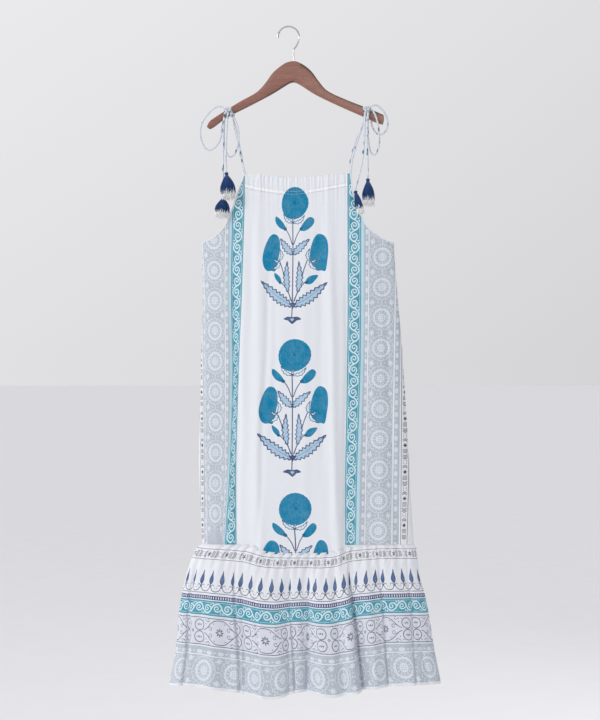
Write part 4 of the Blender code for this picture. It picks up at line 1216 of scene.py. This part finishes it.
def printed_cord():
    """Bias strips of printed voile turned into cord: pale, with cut-off flecks of the print."""
    made, tree, shader, place = new_material(
        "cotton_cord_printed", 0.88, Specular_IOR_Level=0.25, Sheen_Weight=0.15)
    cells = add_node(tree, "ShaderNodeTexVoronoi", None, Vector=stretch(tree, place, (1.6, 1.6, 0.8)),
                     Scale=82.0, Randomness=1.0)
    fleck = spread(tree, cells.outputs["Distance"], 0.24, 0.40, 1.0, 0.0)
    some = spread(tree, noise(tree, place, 46.0, 1.0), 0.40, 0.56, 0.05, 1.0)
    tint = blend(tree, cells.outputs["Color"], "#3A4668", "#7FA3BC")
    lay_colour(tree, shader, number(tree, "MULTIPLY", fleck, some), "#DDE2EA", tint)
    voile_surface(tree, shader, place, 0.5)
    return made


def tassel_thread(name, dark, light):
    """Loose mercerised cotton thread: a soft sheen, each thread a little lighter or darker."""
    made, tree, shader, place = new_material(
        name, 0.72, Specular_IOR_Level=0.35, Sheen_Weight=0.3, Sheen_Roughness=0.4)
    lay_colour(tree, shader, noise(tree, place, 900.0, 1.0), dark, light)
    lay_bump(tree, shader, noise(tree, place, 2400.0, 1.0), 0.4, 0.0002)
    return made


def lacquered_wood():
    """Stained beech under clear lacquer: long grain along the arms, small pores, a satin gloss."""
    settings = bpy.context.scene.sundress_hanger
    made, tree, shader, place = new_material("beech_stained_lacquered", 0.42, **LACQUER)
    along = stretch(tree, place, (0.10, 1.0, 1.0))
    grain = noise(tree, along, 210.0, 5.0, Roughness=0.65)
    pores = spread(tree, noise(tree, along, 900.0, 2.0), 0.58, 0.72, 0.0, 0.55)
    stain = blend(tree, grain, settings.dark_stain, settings.light_stain)
    lay_colour(tree, shader, pores, stain, "#3A1D17")
    lay_bump(tree, shader, grain, 0.12, 0.0002)
    return made


def painted_shade_on_edges():
    """Painted shade along the sanded edges: the lacquer over a nearly black brown that stands in for the
    shadow on the upper and under faces.
    """
    made, tree, shader, place = new_material("beech_edge_painted_shade", 0.42, **LACQUER)
    lay_colour(tree, shader, noise(tree, place, 160.0, 3.0), "#40251F", "#6A4438")
    return made


def chromed_wire():
    """Chromium plate on drawn steel wire: bright, with faint drawing marks along it."""
    made, tree, shader, place = new_material("chromium_plated_wire", 0.16, Metallic=1.0)
    marks = noise(tree, place, 700.0, 2.0)
    lay_colour(tree, shader, marks, "#A9AAAD", "#C6C7CA")
    lay_bump(tree, shader, marks, 0.05, 0.0001)
    return made


def keep(made, slot, *nodes):
    """Links a piece, lets it ride on the part and hides the solids it stands for."""
    bpy.context.scene.collection.objects.link(made)
    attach(made, BODY_NAME)
    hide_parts(*nodes)
    return made


def mesh_piece(name, points, faces, materials, marks=None):
    mesh = bpy.data.meshes.new(name)
    mesh.from_pydata(points, [], faces)
    for material in materials:
        mesh.materials.append(material)
    if marks is not None:
        mesh.polygons.foreach_set("material_index", marks)
    mesh.shade_smooth()
    mesh.update()
    return bpy.data.objects.new(name, mesh)


def ink_materials():
    """The print's materials, made once and shared by every printed panel."""
    made = {}
    for name, (code, patchy) in INKS.items():
        found = bpy.data.materials.get("cotton_voile_" + name)
        made[name] = found or printed_voile(name, code, patchy)
    return made


def cloth_lattice(left, right, low, high, across_step, up_step):
    """Staggered points that let the cloth bend between its printed outlines."""
    points = []
    for r in range(int((high - low) / up_step) + 1):
        shift = 0.5 * across_step * (r % 2)
        for c in range(int((right - left) / across_step) + 1):
            points.append((left + shift + c * across_step, low + r * up_step))
    return points


def printed_panel(name, outline, design, lattice, place, facing, thickness, ground="voile"):
    """A cloth panel cut along an outline, with its print as faces of its own, hung by place."""
    points = [Vector(p) for p in outline]
    faces = [list(range(len(points)))]
    for shape in design.outlines:
        faces.append(list(range(len(points), len(points) + len(shape))))
        points.extend(Vector(p) for p in shape)
    points.extend(Vector(p) for p in lattice)
    flat, _, triangles, _, _, sources = delaunay_2d_cdt(points, [], faces, 1, 1e-7, True)
    names = list(INKS)
    kept, marks = [], []
    for triangle, source in zip(triangles, sources):
        if 0 in source:
            top = max(source)
            kept.append(triangle if facing < 0 else triangle[::-1])
            marks.append(names.index(design.inks[top - 1] if top else ground))
    used, numbers = np.unique(np.array(kept), return_inverse=True)
    numbers = numbers.reshape(-1, 3)
    spots = np.array([(p.x, p.y) for p in flat])[used]
    hung = place(spots[:, 0], spots[:, 1])
    inks = ink_materials()
    made = mesh_piece(name, hung.tolist(), numbers.tolist(), [inks[ink] for ink in names], marks)
    wall = made.modifiers.new("Cloth", "SOLIDIFY")
    wall.thickness = thickness
    wall.offset = 0.0
    return made


def flat_body_place(function, side):
    return lambda flat, z: function(hung_across(flat, z), z, side)


def to_flat(pairs):
    x, z = np.array([p[0] for p in pairs]), np.array([p[1] for p in pairs])
    return list(zip(flat_across(x, z).tolist(), z.tolist()))


def neck_line(height_of, step=0.002):
    """Points along the neckline at a height for each share, from armhole to armhole."""
    left = np.interp(height_of(0.0), *EDGE_TABLE["left"])
    right = np.interp(height_of(1.0), *EDGE_TABLE["right"])
    count = int((right - left) / step)
    line = []
    for i in range(count + 1):
        share = i / count
        line.append((float(mix(left, right, share)), float(height_of(share))))
    return line


def casing_foot(share):
    return read_table(NECK, share, 2) - CASING_HEIGHT


def casing_top(share):
    return read_table(NECK, share, 2)


def frill_top(share):
    return read_table(NECK, share, 1)


def need(*nodes):
    """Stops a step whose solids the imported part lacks."""
    missing = [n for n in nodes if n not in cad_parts]
    if missing:
        raise RuntimeError(f"the packed part has no solids named {missing}")


class ClothSettings(PropertyGroup):
    thickness: FloatProperty(
        name="Thickness", description="Thickness of the voile", default=0.0004, unit="LENGTH")
    casing_thickness: FloatProperty(
        name="Casing thickness", description="Thickness of the folded neck casing",
        default=0.0008, unit="LENGTH")
    crease_depth: FloatProperty(
        name="Creases", description="Share of the creases' full depth", default=1.0, subtype="FACTOR")
    gather_depth: FloatProperty(
        name="Gathers", description="Share of the fine gathers' full depth", default=1.0, subtype="FACTOR")
    hem_radius: FloatProperty(
        name="Rolled hem", description="Radius of the narrow rolled hem", default=0.0009, unit="LENGTH")
    stitch_length: FloatProperty(
        name="Stitch", description="Length of one machine stitch", default=0.0026, unit="LENGTH")


class CordSettings(PropertyGroup):
    step: FloatProperty(
        name="Step", description="Spacing of the points along each cord", default=0.003, unit="LENGTH")
    roundness: IntProperty(
        name="Roundness", description="Bevel resolution of the cords", default=3)
    strands: IntProperty(
        name="Strands", description="Threads in one tassel's skirt", default=230)
    tuft_strands: IntProperty(
        name="Tuft strands", description="Threads in one tassel's white tuft", default=220)


class HangerSettings(PropertyGroup):
    dark_stain: FloatVectorProperty(
        name="Dark stain", description="Stain in the dark grain", default=srgb("#754536"), subtype="COLOR")
    light_stain: FloatVectorProperty(
        name="Light stain", description="Stain in the light grain", default=srgb("#A57362"), subtype="COLOR")
    stations: IntProperty(
        name="Stations", description="Cross sections along the wooden body", default=170)
    corner_power: FloatProperty(
        name="Corner", description="How square the arm's section is", default=4.2)


class StageSettings(PropertyGroup):
    camera_distance: FloatProperty(
        name="Camera distance", description="From the lens to the dress", default=3.2, unit="LENGTH")
    view_height: FloatProperty(
        name="View height", description="Height that the picture takes in at the dress",
        default=1.629, unit="LENGTH")
    view_centre: FloatVectorProperty(
        name="View centre", description="Where the camera looks",
        default=(0.026, -0.012, -0.7555), subtype="TRANSLATION")
    floor_gap: FloatProperty(
        name="Floor gap", description="From the lowest point of the dress to the floor",
        default=0.75, unit="LENGTH")
    key_power: FloatProperty(
        name="Key light", description="Power of the large soft light", default=57.0, unit="POWER")
    ambient: FloatProperty(
        name="Ambient", description="Strength of the light from all round", default=0.62)
    side_share: FloatProperty(
        name="Side light", description="How much brighter the room is on the left than on the right",
        default=1.0)
    back_share: FloatProperty(
        name="Back wall", description="How much brighter the room is behind the dress than before it",
        default=0.1)
    ceiling_share: FloatProperty(
        name="Ceiling", description="How much brighter the room is overhead", default=0.33)
    ambient_colour: FloatVectorProperty(
        name="Ambient colour", description="Colour of the even light",
        default=srgb("#FDFDFF"), subtype="COLOR")


class SUNDRESS_OT_stage(Operator):
    """Set up the camera, the soft light and the pale floor"""

    bl_idname = "sundress.stage"
    bl_label = "Stage"

    def execute(self, context):
        settings = context.scene.sundress_stage
        lens = bpy.data.cameras.new("camera")
        lens.sensor_width = 36.0
        lens.lens = lens.sensor_width * settings.camera_distance / settings.view_height
        camera = bpy.data.objects.new("camera", lens)
        centre = Vector(settings.view_centre)
        camera.location = centre - Vector((0.0, settings.camera_distance, 0.0))
        camera.rotation_euler = (math.pi / 2, 0.0, 0.0)
        context.scene.collection.objects.link(camera)
        context.scene.camera = camera
        lights = (
            ("key_light", (-3.1, -3.1, 1.3), 1.3, settings.key_power),
            ("front_card", (-0.55, -3.4, 0.6), 1.1, 0.1 * settings.key_power),
            ("back_light", (2.6, 2.2, 0.6), 2.4, 0.6 * settings.key_power),
        )
        for name, place, size, power in lights:
            light = bpy.data.lights.new(name, "AREA")
            light.shape = "DISK"
            light.size = size
            light.energy = power
            lamp = bpy.data.objects.new(name, light)
            lamp.location = place
            lamp.rotation_euler = (centre - Vector(place)).to_track_quat("-Z", "Y").to_euler()
            context.scene.collection.objects.link(lamp)
        context.scene.world = self.room(settings)
        context.scene.view_settings.view_transform = "Standard"
        floor = mesh_piece(
            "floor", [(-80, -80, 0), (80, -80, 0), (80, 80, 0), (-80, 80, 0)], [(0, 1, 2, 3)], [self.paint()])
        floor.location.z = CAD_BOX[0][2] - settings.floor_gap
        context.scene.collection.objects.link(floor)
        return {"FINISHED"}

    def room(self, settings):
        """Light from all round, brighter from the left, from behind and from overhead."""
        world = bpy.data.worlds.new("studio")
        world.use_nodes = True
        tree = world.node_tree
        way = add_node(tree, "ShaderNodeTexCoord").outputs["Generated"]
        split = add_node(tree, "ShaderNodeSeparateXYZ", None, Vector=way).outputs
        across, side = split["X"], settings.side_share
        wall = number(tree, "MULTIPLY_ADD", split["Y"], settings.back_share, settings.ambient)
        upper = number(tree, "MAXIMUM", split["Z"], 0.0)
        even = number(tree, "MULTIPLY_ADD", upper, settings.ceiling_share, wall)
        square = number(tree, "MULTIPLY", across, across)
        slope = number(tree, "MULTIPLY_ADD", square, SIDE_CURVE * side, SIDE_SLOPE * side)
        bright = number(tree, "MULTIPLY_ADD", slope, across, even)
        background = tree.nodes["Background"]
        background.inputs["Color"].default_value = (*settings.ambient_colour, 1.0)
        tree.links.new(bright, background.inputs["Strength"])
        return world

    def paint(self):
        """Matt emulsion on a studio floor."""
        made, tree, shader, place = new_material("matt_emulsion", 0.95, Specular_IOR_Level=0.2)
        lay_colour(tree, shader, noise(tree, place, 6.0, 2.0), "#E9E9EB", "#EDEDEF")
        return made


def tube(name, points, radius, material, roundness):
    """A cord, wire or rolled edge along points close enough to look smooth."""
    curve = bpy.data.curves.new(name, "CURVE")
    curve.dimensions = "3D"
    curve.bevel_depth = radius
    curve.bevel_resolution = roundness
    curve.use_fill_caps = True
    spline = curve.splines.new("POLY")
    spline.points.add(len(points) - 1)
    for target, point in zip(spline.points, points):
        target.co = (*point, 1.0)
    spline.use_smooth = True
    curve.materials.append(material)
    return bpy.data.objects.new(name, curve)


def ring_mesh(rings):
    """Points and faces of a closed skin over rings of equal counts."""
    sides = len(rings[0])
    points = [tuple(p) for ring in rings for p in ring]
    faces = []
    for r in range(len(rings) - 1):
        for i in range(sides):
            k = (i + 1) % sides
            faces.append((r * sides + i, r * sides + k, (r + 1) * sides + k, (r + 1) * sides + i))
    faces.append(tuple(range(sides))[::-1])
    faces.append(tuple((len(rings) - 1) * sides + i for i in range(sides)))
    return points, faces


class Bundle:
    """Many small skins gathered into one mesh."""

    def __init__(self):
        self.points, self.faces = [], []

    def add(self, points, faces):
        base = len(self.points)
        self.points.extend(points)
        self.faces.extend(tuple(base + i for i in face) for face in faces)

    def thread(self, path, radius, tip, sides=3):
        rings = []
        for i, point in enumerate(path):
            along = (path[min(i + 1, len(path) - 1)] - path[max(i - 1, 0)]).normalized()
            side = along.cross(Vector((0.31, 0.95, 0.05))).normalized()
            other = along.cross(side)
            size = mix(radius, tip, i / (len(path) - 1))
            turns = [2 * math.pi * k / sides for k in range(sides)]
            rings.append([point + (side * math.cos(a) + other * math.sin(a)) * size for a in turns])
        self.add(*ring_mesh(rings))


def wrap_route(centre, half_height, slope):
    """The cord's turns round the hanger's arm."""
    tall, deep = half_height + WRAP_CLEAR, HANGER_THICK / 2 + WRAP_CLEAR
    axis = Vector((math.cos(math.radians(slope)), 0.0, math.sin(math.radians(slope))))
    upright = Vector((-axis.z, 0.0, axis.x))
    steps = 44
    points = []
    for i in range(round(WRAP_TURNS * steps) + 1):
        turn = i / steps
        angle = 2 * math.pi * turn
        rise = math.copysign(abs(math.sin(angle)) ** 0.5, math.sin(angle)) * tall
        out = math.copysign(abs(math.cos(angle)) ** 0.5, math.cos(angle)) * deep
        along = (turn - WRAP_TURNS / 2) * WRAP_PITCH
        points.append(Vector(centre) + axis * along + upright * rise + Vector((0.0, out, 0.0)))
    return points


def knot_route(centre):
    """An overhand knot pulled tight: a three-lobed ring that passes over and under itself."""
    points = []
    for i in range(73):
        t = 2 * math.pi * i / 72
        x = (math.sin(t) + 2 * math.sin(2 * t)) / 3 * (KNOT_SIZE[0] - 0.6 * CORD_RADIUS)
        z = (math.cos(t) - 2 * math.cos(2 * t)) / 3 * (KNOT_SIZE[2] - 0.6 * CORD_RADIUS)
        y = -math.sin(3 * t) * (KNOT_SIZE[1] - CORD_RADIUS)
        points.append(Vector(centre) + Vector((x, y, z)))
    return points


class SUNDRESS_OT_cords(Operator):
    """Tie the straps to the hanger in bows"""

    bl_idname = "sundress.cords"
    bl_label = "Cords"

    def execute(self, context):
        need(*[name for name, _ in STRAPS + LOOPS + TAILS])
        settings = context.scene.sundress_cords
        cord = printed_cord()
        for name, route in STRAPS + LOOPS + TAILS:
            points = smooth_route(route, settings.step)
            made = keep(
                tube(name + "_cord", points, CORD_RADIUS, cord, settings.roundness), "printed_cord", name)
        for side, centre, half_height, slope in WRAPS:
            points = wrap_route(centre, half_height, slope)
            keep(tube(f"bow_wrap_{side}_cord", points, CORD_RADIUS, cord, settings.roundness),
                 "printed_cord", "bow_wrap_" + side)
        for side, centre in KNOTS:
            keep(tube(f"bow_knot_{side}_cord", knot_route(centre), CORD_RADIUS, cord, settings.roundness),
                 "printed_cord", "bow_knot_" + side)
        return {"FINISHED"}


class SUNDRESS_OT_tassels(Operator):
    """Hang a tassel on each tail, with its white tuft"""

    bl_idname = "sundress.tassels"
    bl_label = "Tassels"

    def execute(self, context):
        settings = context.scene.sundress_cords
        navy = tassel_thread("mercerised_cotton_navy", "#0D2F62", "#1C4F8F")
        white = tassel_thread("mercerised_cotton_white", "#FAFAF8", "#FEFEFE")
        for (name, top, tip, flare), (tail, route) in zip(TASSELS, self.tails()):
            need(name, name + "_tuft", tail)
            skirt, tuft = Bundle(), Bundle()
            self.head(skirt, Vector(top), Vector(tip))
            self.strands(skirt, Vector(top), Vector(tip), 1.12 * flare, settings.strands, 0.0, 0.0)
            self.strands(
                tuft, Vector(top), Vector(tip), 1.06 * flare, settings.tuft_strands, 0.64, TUFT_LENGTH)
            skirt_piece = keep(
                mesh_piece(name + "_threads", skirt.points, skirt.faces, [navy]), "navy_cotton", name)
            tuft_piece = keep(mesh_piece(name + "_white_threads", tuft.points, tuft.faces, [white]),
                              "white_cotton", name + "_tuft")
            route_length(smooth_route(route, settings.step))
        return {"FINISHED"}

    def tails(self):
        """Each tassel's own tail, in the tassels' order."""
        routes = dict(TAILS)
        return [
            (name.replace("tassel", "tail"), routes[name.replace("tassel", "tail")]) for name, *_ in TASSELS]

    def frame_of(self, top, tip):
        return Vector((0.0, 0.0, -1.0)).rotation_difference((tip - top).normalized())

    def head(self, bundle, top, tip):
        """A rounded head over a neck bound with thread."""
        turn = self.frame_of(top, tip)
        rings = []
        for i in range(22):
            t = i / 21
            if t < 0.5:
                radius = TASSEL_HEAD * math.sin(math.pi * min(t * 1.5, 0.66)) ** 0.7 + 0.0003
            else:
                radius = TASSEL_NECK * (0.93 + 0.07 * math.cos(2 * math.pi * 8 * t))
            angles = [2 * math.pi * k / 16 for k in range(16)]
            rings.append([
                top + turn @ Vector((radius * math.cos(a), radius * math.sin(a), -TASSEL_HEAD_LENGTH * t))
                for a in angles])
        bundle.add(*ring_mesh(rings))

    def strands(self, bundle, top, tip, flare, count, start, beyond):
        """Threads from the neck that swing out to an uneven hem."""
        turn = self.frame_of(top, tip)
        length = (tip - top).length
        for k in range(count):
            angle = 2.39996 * k
            reach = math.sqrt((k + 0.5) / count)
            root = Vector((math.cos(angle), math.sin(angle) * 0.9, 0.0)) * TASSEL_NECK * 0.95 * reach
            uneven = 1.0 + 0.045 * math.sin(3.7 * k) + 0.03 * math.sin(1.3 * k)
            out = flare * reach * (0.94 + 0.09 * math.sin(2.9 * k))
            goal = Vector((math.cos(angle) * out, math.sin(angle) * out * TASSEL_FLAT * 1.5,
                           -(length + beyond * (0.75 + 0.25 * math.sin(5.3 * k))) * uneven))
            path = []
            for i in range(6):
                t = mix(start, 1.0, i / 5)
                point = root.lerp(goal, math.sin(TASSEL_BELL * t))
                point.z = mix(-TASSEL_HEAD_LENGTH * 0.9, goal.z, t)
                point.x += 0.0006 * math.sin(9 * t + 1.9 * k) * t
                point.y += 0.0005 * math.cos(7 * t + 2.3 * k) * t
                path.append(top + turn @ point)
            bundle.thread(path, 0.00075, 0.00065)


def body_outline():
    """The body panel's cut: casing foot, right armhole, right side, tier seam and back up the left."""
    top = neck_line(casing_foot)
    rows = [top]
    edge_z = top[-1][1]
    rows.append([(x, z) for x, z in CLOTH_EDGE["right"] if z < edge_z - 0.001])
    under = CLOTH_EDGE["right"][-1][1]
    count = 120
    low = [(s, float(read_table(TIER_SEAM, s, 1)) - 0.004) for s in np.linspace(0, 1, 201)]
    heights = [mix(under, low[-1][1], i / count) for i in range(1, count)]
    rows.append([(float(body_width(z)[1]) - 1e-5, z) for z in heights])
    seam = []
    for share, z in low[::-1]:
        left, right = body_width(max(z, BODY[-1][0]))
        seam.append((float(mix(left + 1e-5, right - 1e-5, share)), z))
    rows.append(seam)
    under = CLOTH_EDGE["left"][-1][1]
    heights = [mix(low[0][1], under, i / count) for i in range(1, count)]
    rows.append([(float(body_width(z)[0]) + 1e-5, z) for z in heights])
    rows.append([(x, z) for x, z in CLOTH_EDGE["left"][::-1] if z < top[0][1] - 0.001])
    return [point for row in rows for point in row]


def body_lattice():
    """Points that let the body bend: even ones, closer ones under the neck and down the sides."""
    points = cloth_lattice(-0.29, 0.29, -1.20, -0.47, 0.0052, 0.0082)
    points += cloth_lattice(-0.16, 0.16, -0.468, -0.358, 0.0019, 0.0052)
    points += cloth_lattice(-0.24, 0.29, -1.196, -1.172, 0.0024, 0.0048)
    side = []
    for i in range(110):
        z = mix(-0.497, -1.185, i / 109)
        left, right = body_width(z)
        for share in SIDE_SHARES:
            side.append((float(mix(left, right, share)), z))
            side.append((float(mix(right, left, share)), z))
    return points + to_flat(side)


class SUNDRESS_OT_body(Operator):
    """Hang the front and back body panels"""

    bl_idname = "sundress.body"
    bl_label = "Body"

    def execute(self, context):
        settings = context.scene.sundress_cloth
        for side in SIDES:
            node = "body_" + side.name
            need(node)
            outline = [p for p in to_flat(body_outline())]
            made = printed_panel(node + "_cloth", outline[::-1], body_print(), body_lattice(),
                                 flat_body_place(body_place, side), side.facing, settings.thickness)
            keep(made, "printed_voile", node)
        return {"FINISHED"}


class SUNDRESS_OT_neck(Operator):
    """Gather the neck: header frill, casing and its stitching"""

    bl_idname = "sundress.neck"
    bl_label = "Neck"

    def execute(self, context):
        settings = context.scene.sundress_cloth
        thread = plain_voile("cotton_sewing_thread", "#FBFBFC", 0.2)
        for side in SIDES:
            design = body_print()
            straps = [f"strap_{side.name}_left", f"strap_{side.name}_right"]
            for part, low, high, function, thickness, step, ground, cut, under in (
                ("neck_casing_", casing_foot, casing_top, casing_place, settings.casing_thickness, 0.0016,
                 "voile_folded", (0.25, 0.010), straps),
                ("neck_frill_", casing_top, frill_top, frill_place,
                settings.thickness, 0.0012, "voile_single",
                 (0.30, 0.030), ["neck_casing_" + side.name]),
            ):
                node = part + side.name
                need(node)
                outline = to_flat(neck_line(low) + neck_line(high)[::-1])
                lattice = cloth_lattice(-0.13, 0.15, -0.384, -0.333, step, 0.0026)
                made = printed_panel(node + "_cloth", outline, design, lattice,
                                     flat_body_place(function, side), side.facing, thickness, ground)
                keep(made, "white_voile", node)
            stitches = Bundle()
            for height_of in (casing_foot, casing_top):
                self.row(stitches, side, height_of, settings.stitch_length)
            keep(
                mesh_piece(f"neck_stitches_{side.name}", stitches.points, stitches.faces, [thread]),
                "white_voile")
        return {"FINISHED"}

    def row(self, bundle, side, height_of, length):
        """Machine stitches along the neck, a little apart, lying on the casing."""
        offset = 0.0006 if height_of is casing_foot else -0.0006
        line = neck_line(height_of, length * 1.35)
        for x, z in line[1:-1]:
            ends = np.array([x - length / 2, x, x + length / 2])
            level = np.full(3, z + offset)
            spots = casing_place(ends, level, side)
            spots[:, 1] += side.facing * (0.0008 + np.array([-0.0003, 0.0001, -0.0003]))
            bundle.thread([Vector(p) for p in spots], 0.00032, 0.00032, 4)


class SUNDRESS_OT_tier(Operator):
    """Gather the hem tier on to the body and roll its hem"""

    bl_idname = "sundress.tier"
    bl_label = "Hem tier"

    def execute(self, context):
        settings = context.scene.sundress_cloth
        hem_cloth = plain_voile("cotton_voile_hem", "#F7F8FA", 0.4)
        for side in SIDES:
            node = "tier_" + side.name
            need(node)
            cloth = TierCloth(side)
            across = [float(v) for v in np.linspace(0.0, TIER_WIDTH, 501)]
            upright = [-TIER_DROP * i / 60 for i in range(1, 60)]
            outline = [(u, -TIER_DROP) for u in across] + [(TIER_WIDTH, v) for v in upright[::-1]]
            outline += [(u, 0.0) for u in across[::-1]] + [(0.0, v) for v in upright]
            lattice = cloth_lattice(0.0012, TIER_WIDTH - 0.001, -0.311, -0.052, 0.0042, 0.0074)
            lattice += cloth_lattice(0.0012, TIER_WIDTH - 0.001, -0.050, -0.0035, 0.0022, 0.0052)
            lattice += cloth.crease_points()
            made = printed_panel(node + "_cloth", outline, tier_print(), lattice, cloth.place, side.facing,
                                 settings.thickness)
            hem = self.hem(cloth, side, settings.hem_radius, hem_cloth)
            keep(made, "printed_voile", node)
            keep(hem, "printed_voile")
        return {"FINISHED"}

    def hem(self, cloth, side, radius, material):
        flat = np.linspace(0.001, TIER_WIDTH - 0.001, 420)
        points = cloth.place(flat, np.full_like(flat, -TIER_DROP + 0.0006))
        return tube(f"hem_{side.name}", [Vector(p) for p in points], radius, material, 2)


class SUNDRESS_OT_bindings(Operator):
    """Bind the armholes"""

    bl_idname = "sundress.bindings"
    bl_label = "Armhole bindings"

    def execute(self, context):
        cloth = plain_voile("cotton_voile_bias_binding", "#F8F9FB", 0.4)
        for name in ("left", "right"):
            need("armhole_binding_" + name)
            edge = BOUND_EDGE[name]
            x, z = np.array([p[0] for p in edge[:-1]]), np.array([p[1] for p in edge[:-1]])
            front, back = (body_place(x, z, side) for side in SIDES)
            under = [(edge[-1][0], MID_Y, edge[-1][1])]
            path = smooth_route([tuple(p) for p in front] + under + [tuple(p) for p in back[::-1]], 0.0022)
            keep(tube(f"armhole_binding_{name}_cloth", path, BINDING_RADIUS, cloth, 3), "white_voile",
                 "armhole_binding_" + name)
        return {"FINISHED"}


class SUNDRESS_OT_hanger(Operator):
    """Shape the wooden hanger"""

    bl_idname = "sundress.hanger"
    bl_label = "Wooden hanger"

    def execute(self, context):
        need("hanger_wood")
        settings = context.scene.sundress_hanger
        left, right = HANGER_TOP[0][0], HANGER_TOP[-1][0]
        rings = []
        for i in range(settings.stations + 1):
            x = mix(left, right, 0.5 - 0.5 * math.cos(math.pi * i / settings.stations))
            top, under = (float(read_table(edge, x, 1)) for edge in (HANGER_TOP, HANGER_UNDER))
            tall = max((top - under) / 2, 0.0002)
            deep = HANGER_THICK / 2 * min(1.0, (tall / 0.004) ** 0.5)
            reach = (x - HANGER_X) / HANGER_HALF
            middle = -HANGER_SWEEP * reach * reach
            ring = []
            for k in range(RING_POINTS):
                angle = 2 * math.pi * (k + 0.5) / RING_POINTS
                c, s = math.cos(angle), math.sin(angle)
                power = 2 / settings.corner_power
                out = math.copysign(abs(c) ** power, c) * deep
                rise = math.copysign(abs(s) ** power, s) * tall
                ring.append((x, middle - out, (top + under) / 2 + rise))
            rings.append(ring)
        points, faces = ring_mesh(rings)
        # The second material is painted shade on the right arm's upper edge and the left arm's lower edge
        marks = [self.painted_shade_mark(rings, i) for i in range(len(faces))]
        made = mesh_piece("hanger_wood_lacquered", points, faces, [lacquered_wood(), painted_shade_on_edges()], marks)
        keep(made, "lacquered_wood", "hanger_wood")
        return {"FINISHED"}


    def painted_shade_mark(self, rings, i):
        """1 on the faces that get painted shade: the right arm's upper edge and the left one's lower."""
        ring, k = divmod(i, RING_POINTS)
        if ring >= len(rings) - 1:
            return 0
        x = rings[ring][0][0]
        return int((k in SHADED_UPPER_EDGE and x > HANGER_X + SHADE_START) or (k in SHADED_LOWER_EDGE and x < HANGER_X))


class SUNDRESS_OT_hook(Operator):
    """Bend the wire hook"""

    bl_idname = "sundress.hook"
    bl_label = "Wire hook"

    def execute(self, context):
        need("hanger_hook", "hook_sleeve")
        chrome = chromed_wire()
        arc = self.arc(SLEEVE_ANGLE, HOOK_END_ANGLE, 4.0)
        tangent = math.radians(HOOK_END_ANGLE)
        along = Vector((math.sin(tangent), 0.0, -math.cos(tangent)))
        bend = [Vector((HANGER_X + across, 0.0, SHANK_BEND_Z + up)) for across, up in SHANK_BEND]
        foot = Vector((HANGER_X, 0.0, WOOD_TOP_Z - SHANK_DEPTH))
        lower = smooth_route([arc[-1], arc[-1] + along * RING_EXIT] + bend + [foot], 0.002)
        keep(tube("hook_wire", arc[:-1] + lower, WIRE_RADIUS, chrome, 5), "chromed_wire", "hanger_hook")
        sleeve = self.arc(SLEEVE_END_ANGLE, SLEEVE_ANGLE, 4.0)
        keep(tube("hook_tip_sleeve", sleeve, SLEEVE_RADIUS, chrome, 5), "chromed_wire", "hook_sleeve")
        return {"FINISHED"}

    def arc(self, start, end, step):
        centre_z = WIRE_RADIUS - HOOK_RADIUS
        count = round(abs(end - start) / step)
        points = []
        for i in range(count + 1):
            angle = math.radians(mix(start, end, i / count))
            points.append(
                Vector((HOOK_RADIUS * math.cos(angle), 0.0, centre_z + HOOK_RADIUS * math.sin(angle))))
        return points


STEPS = (
    SUNDRESS_OT_stage, SUNDRESS_OT_cords, SUNDRESS_OT_tassels, SUNDRESS_OT_body, SUNDRESS_OT_neck,
    SUNDRESS_OT_tier, SUNDRESS_OT_bindings, SUNDRESS_OT_hanger, SUNDRESS_OT_hook,
)
SETTINGS = (
    ("sundress_stage", StageSettings), ("sundress_cords", CordSettings),
    ("sundress_cloth", ClothSettings), ("sundress_hanger", HangerSettings),
)


class SUNDRESS_PT_sidebar(Panel):
    """Lists the steps and their settings"""

    bl_idname = "SUNDRESS_PT_sidebar"
    bl_label = "Printed sundress"
    bl_space_type = "VIEW_3D"
    bl_region_type = "UI"
    bl_category = "Sundress"

    def draw(self, context):
        for step in STEPS:
            self.layout.operator(step.bl_idname)
        for name, group in SETTINGS:
            box = self.layout.box()
            values = getattr(context.scene, name)
            for value in group.__annotations__:
                box.prop(values, value)


CLASSES = tuple(group for _, group in SETTINGS) + STEPS + (SUNDRESS_PT_sidebar,)


def register():
    for each in CLASSES:
        bpy.utils.register_class(each)
    for name, group in SETTINGS:
        setattr(bpy.types.Scene, name, PointerProperty(type=group))


def unregister():
    for name, _ in SETTINGS:
        delattr(bpy.types.Scene, name)
    for each in reversed(CLASSES):
        bpy.utils.unregister_class(each)


def main():
    register()
    for step in STEPS:
        group, name = step.bl_idname.split(".")
        getattr(getattr(bpy.ops, group), name)()


if __name__ == "__main__":
    main()
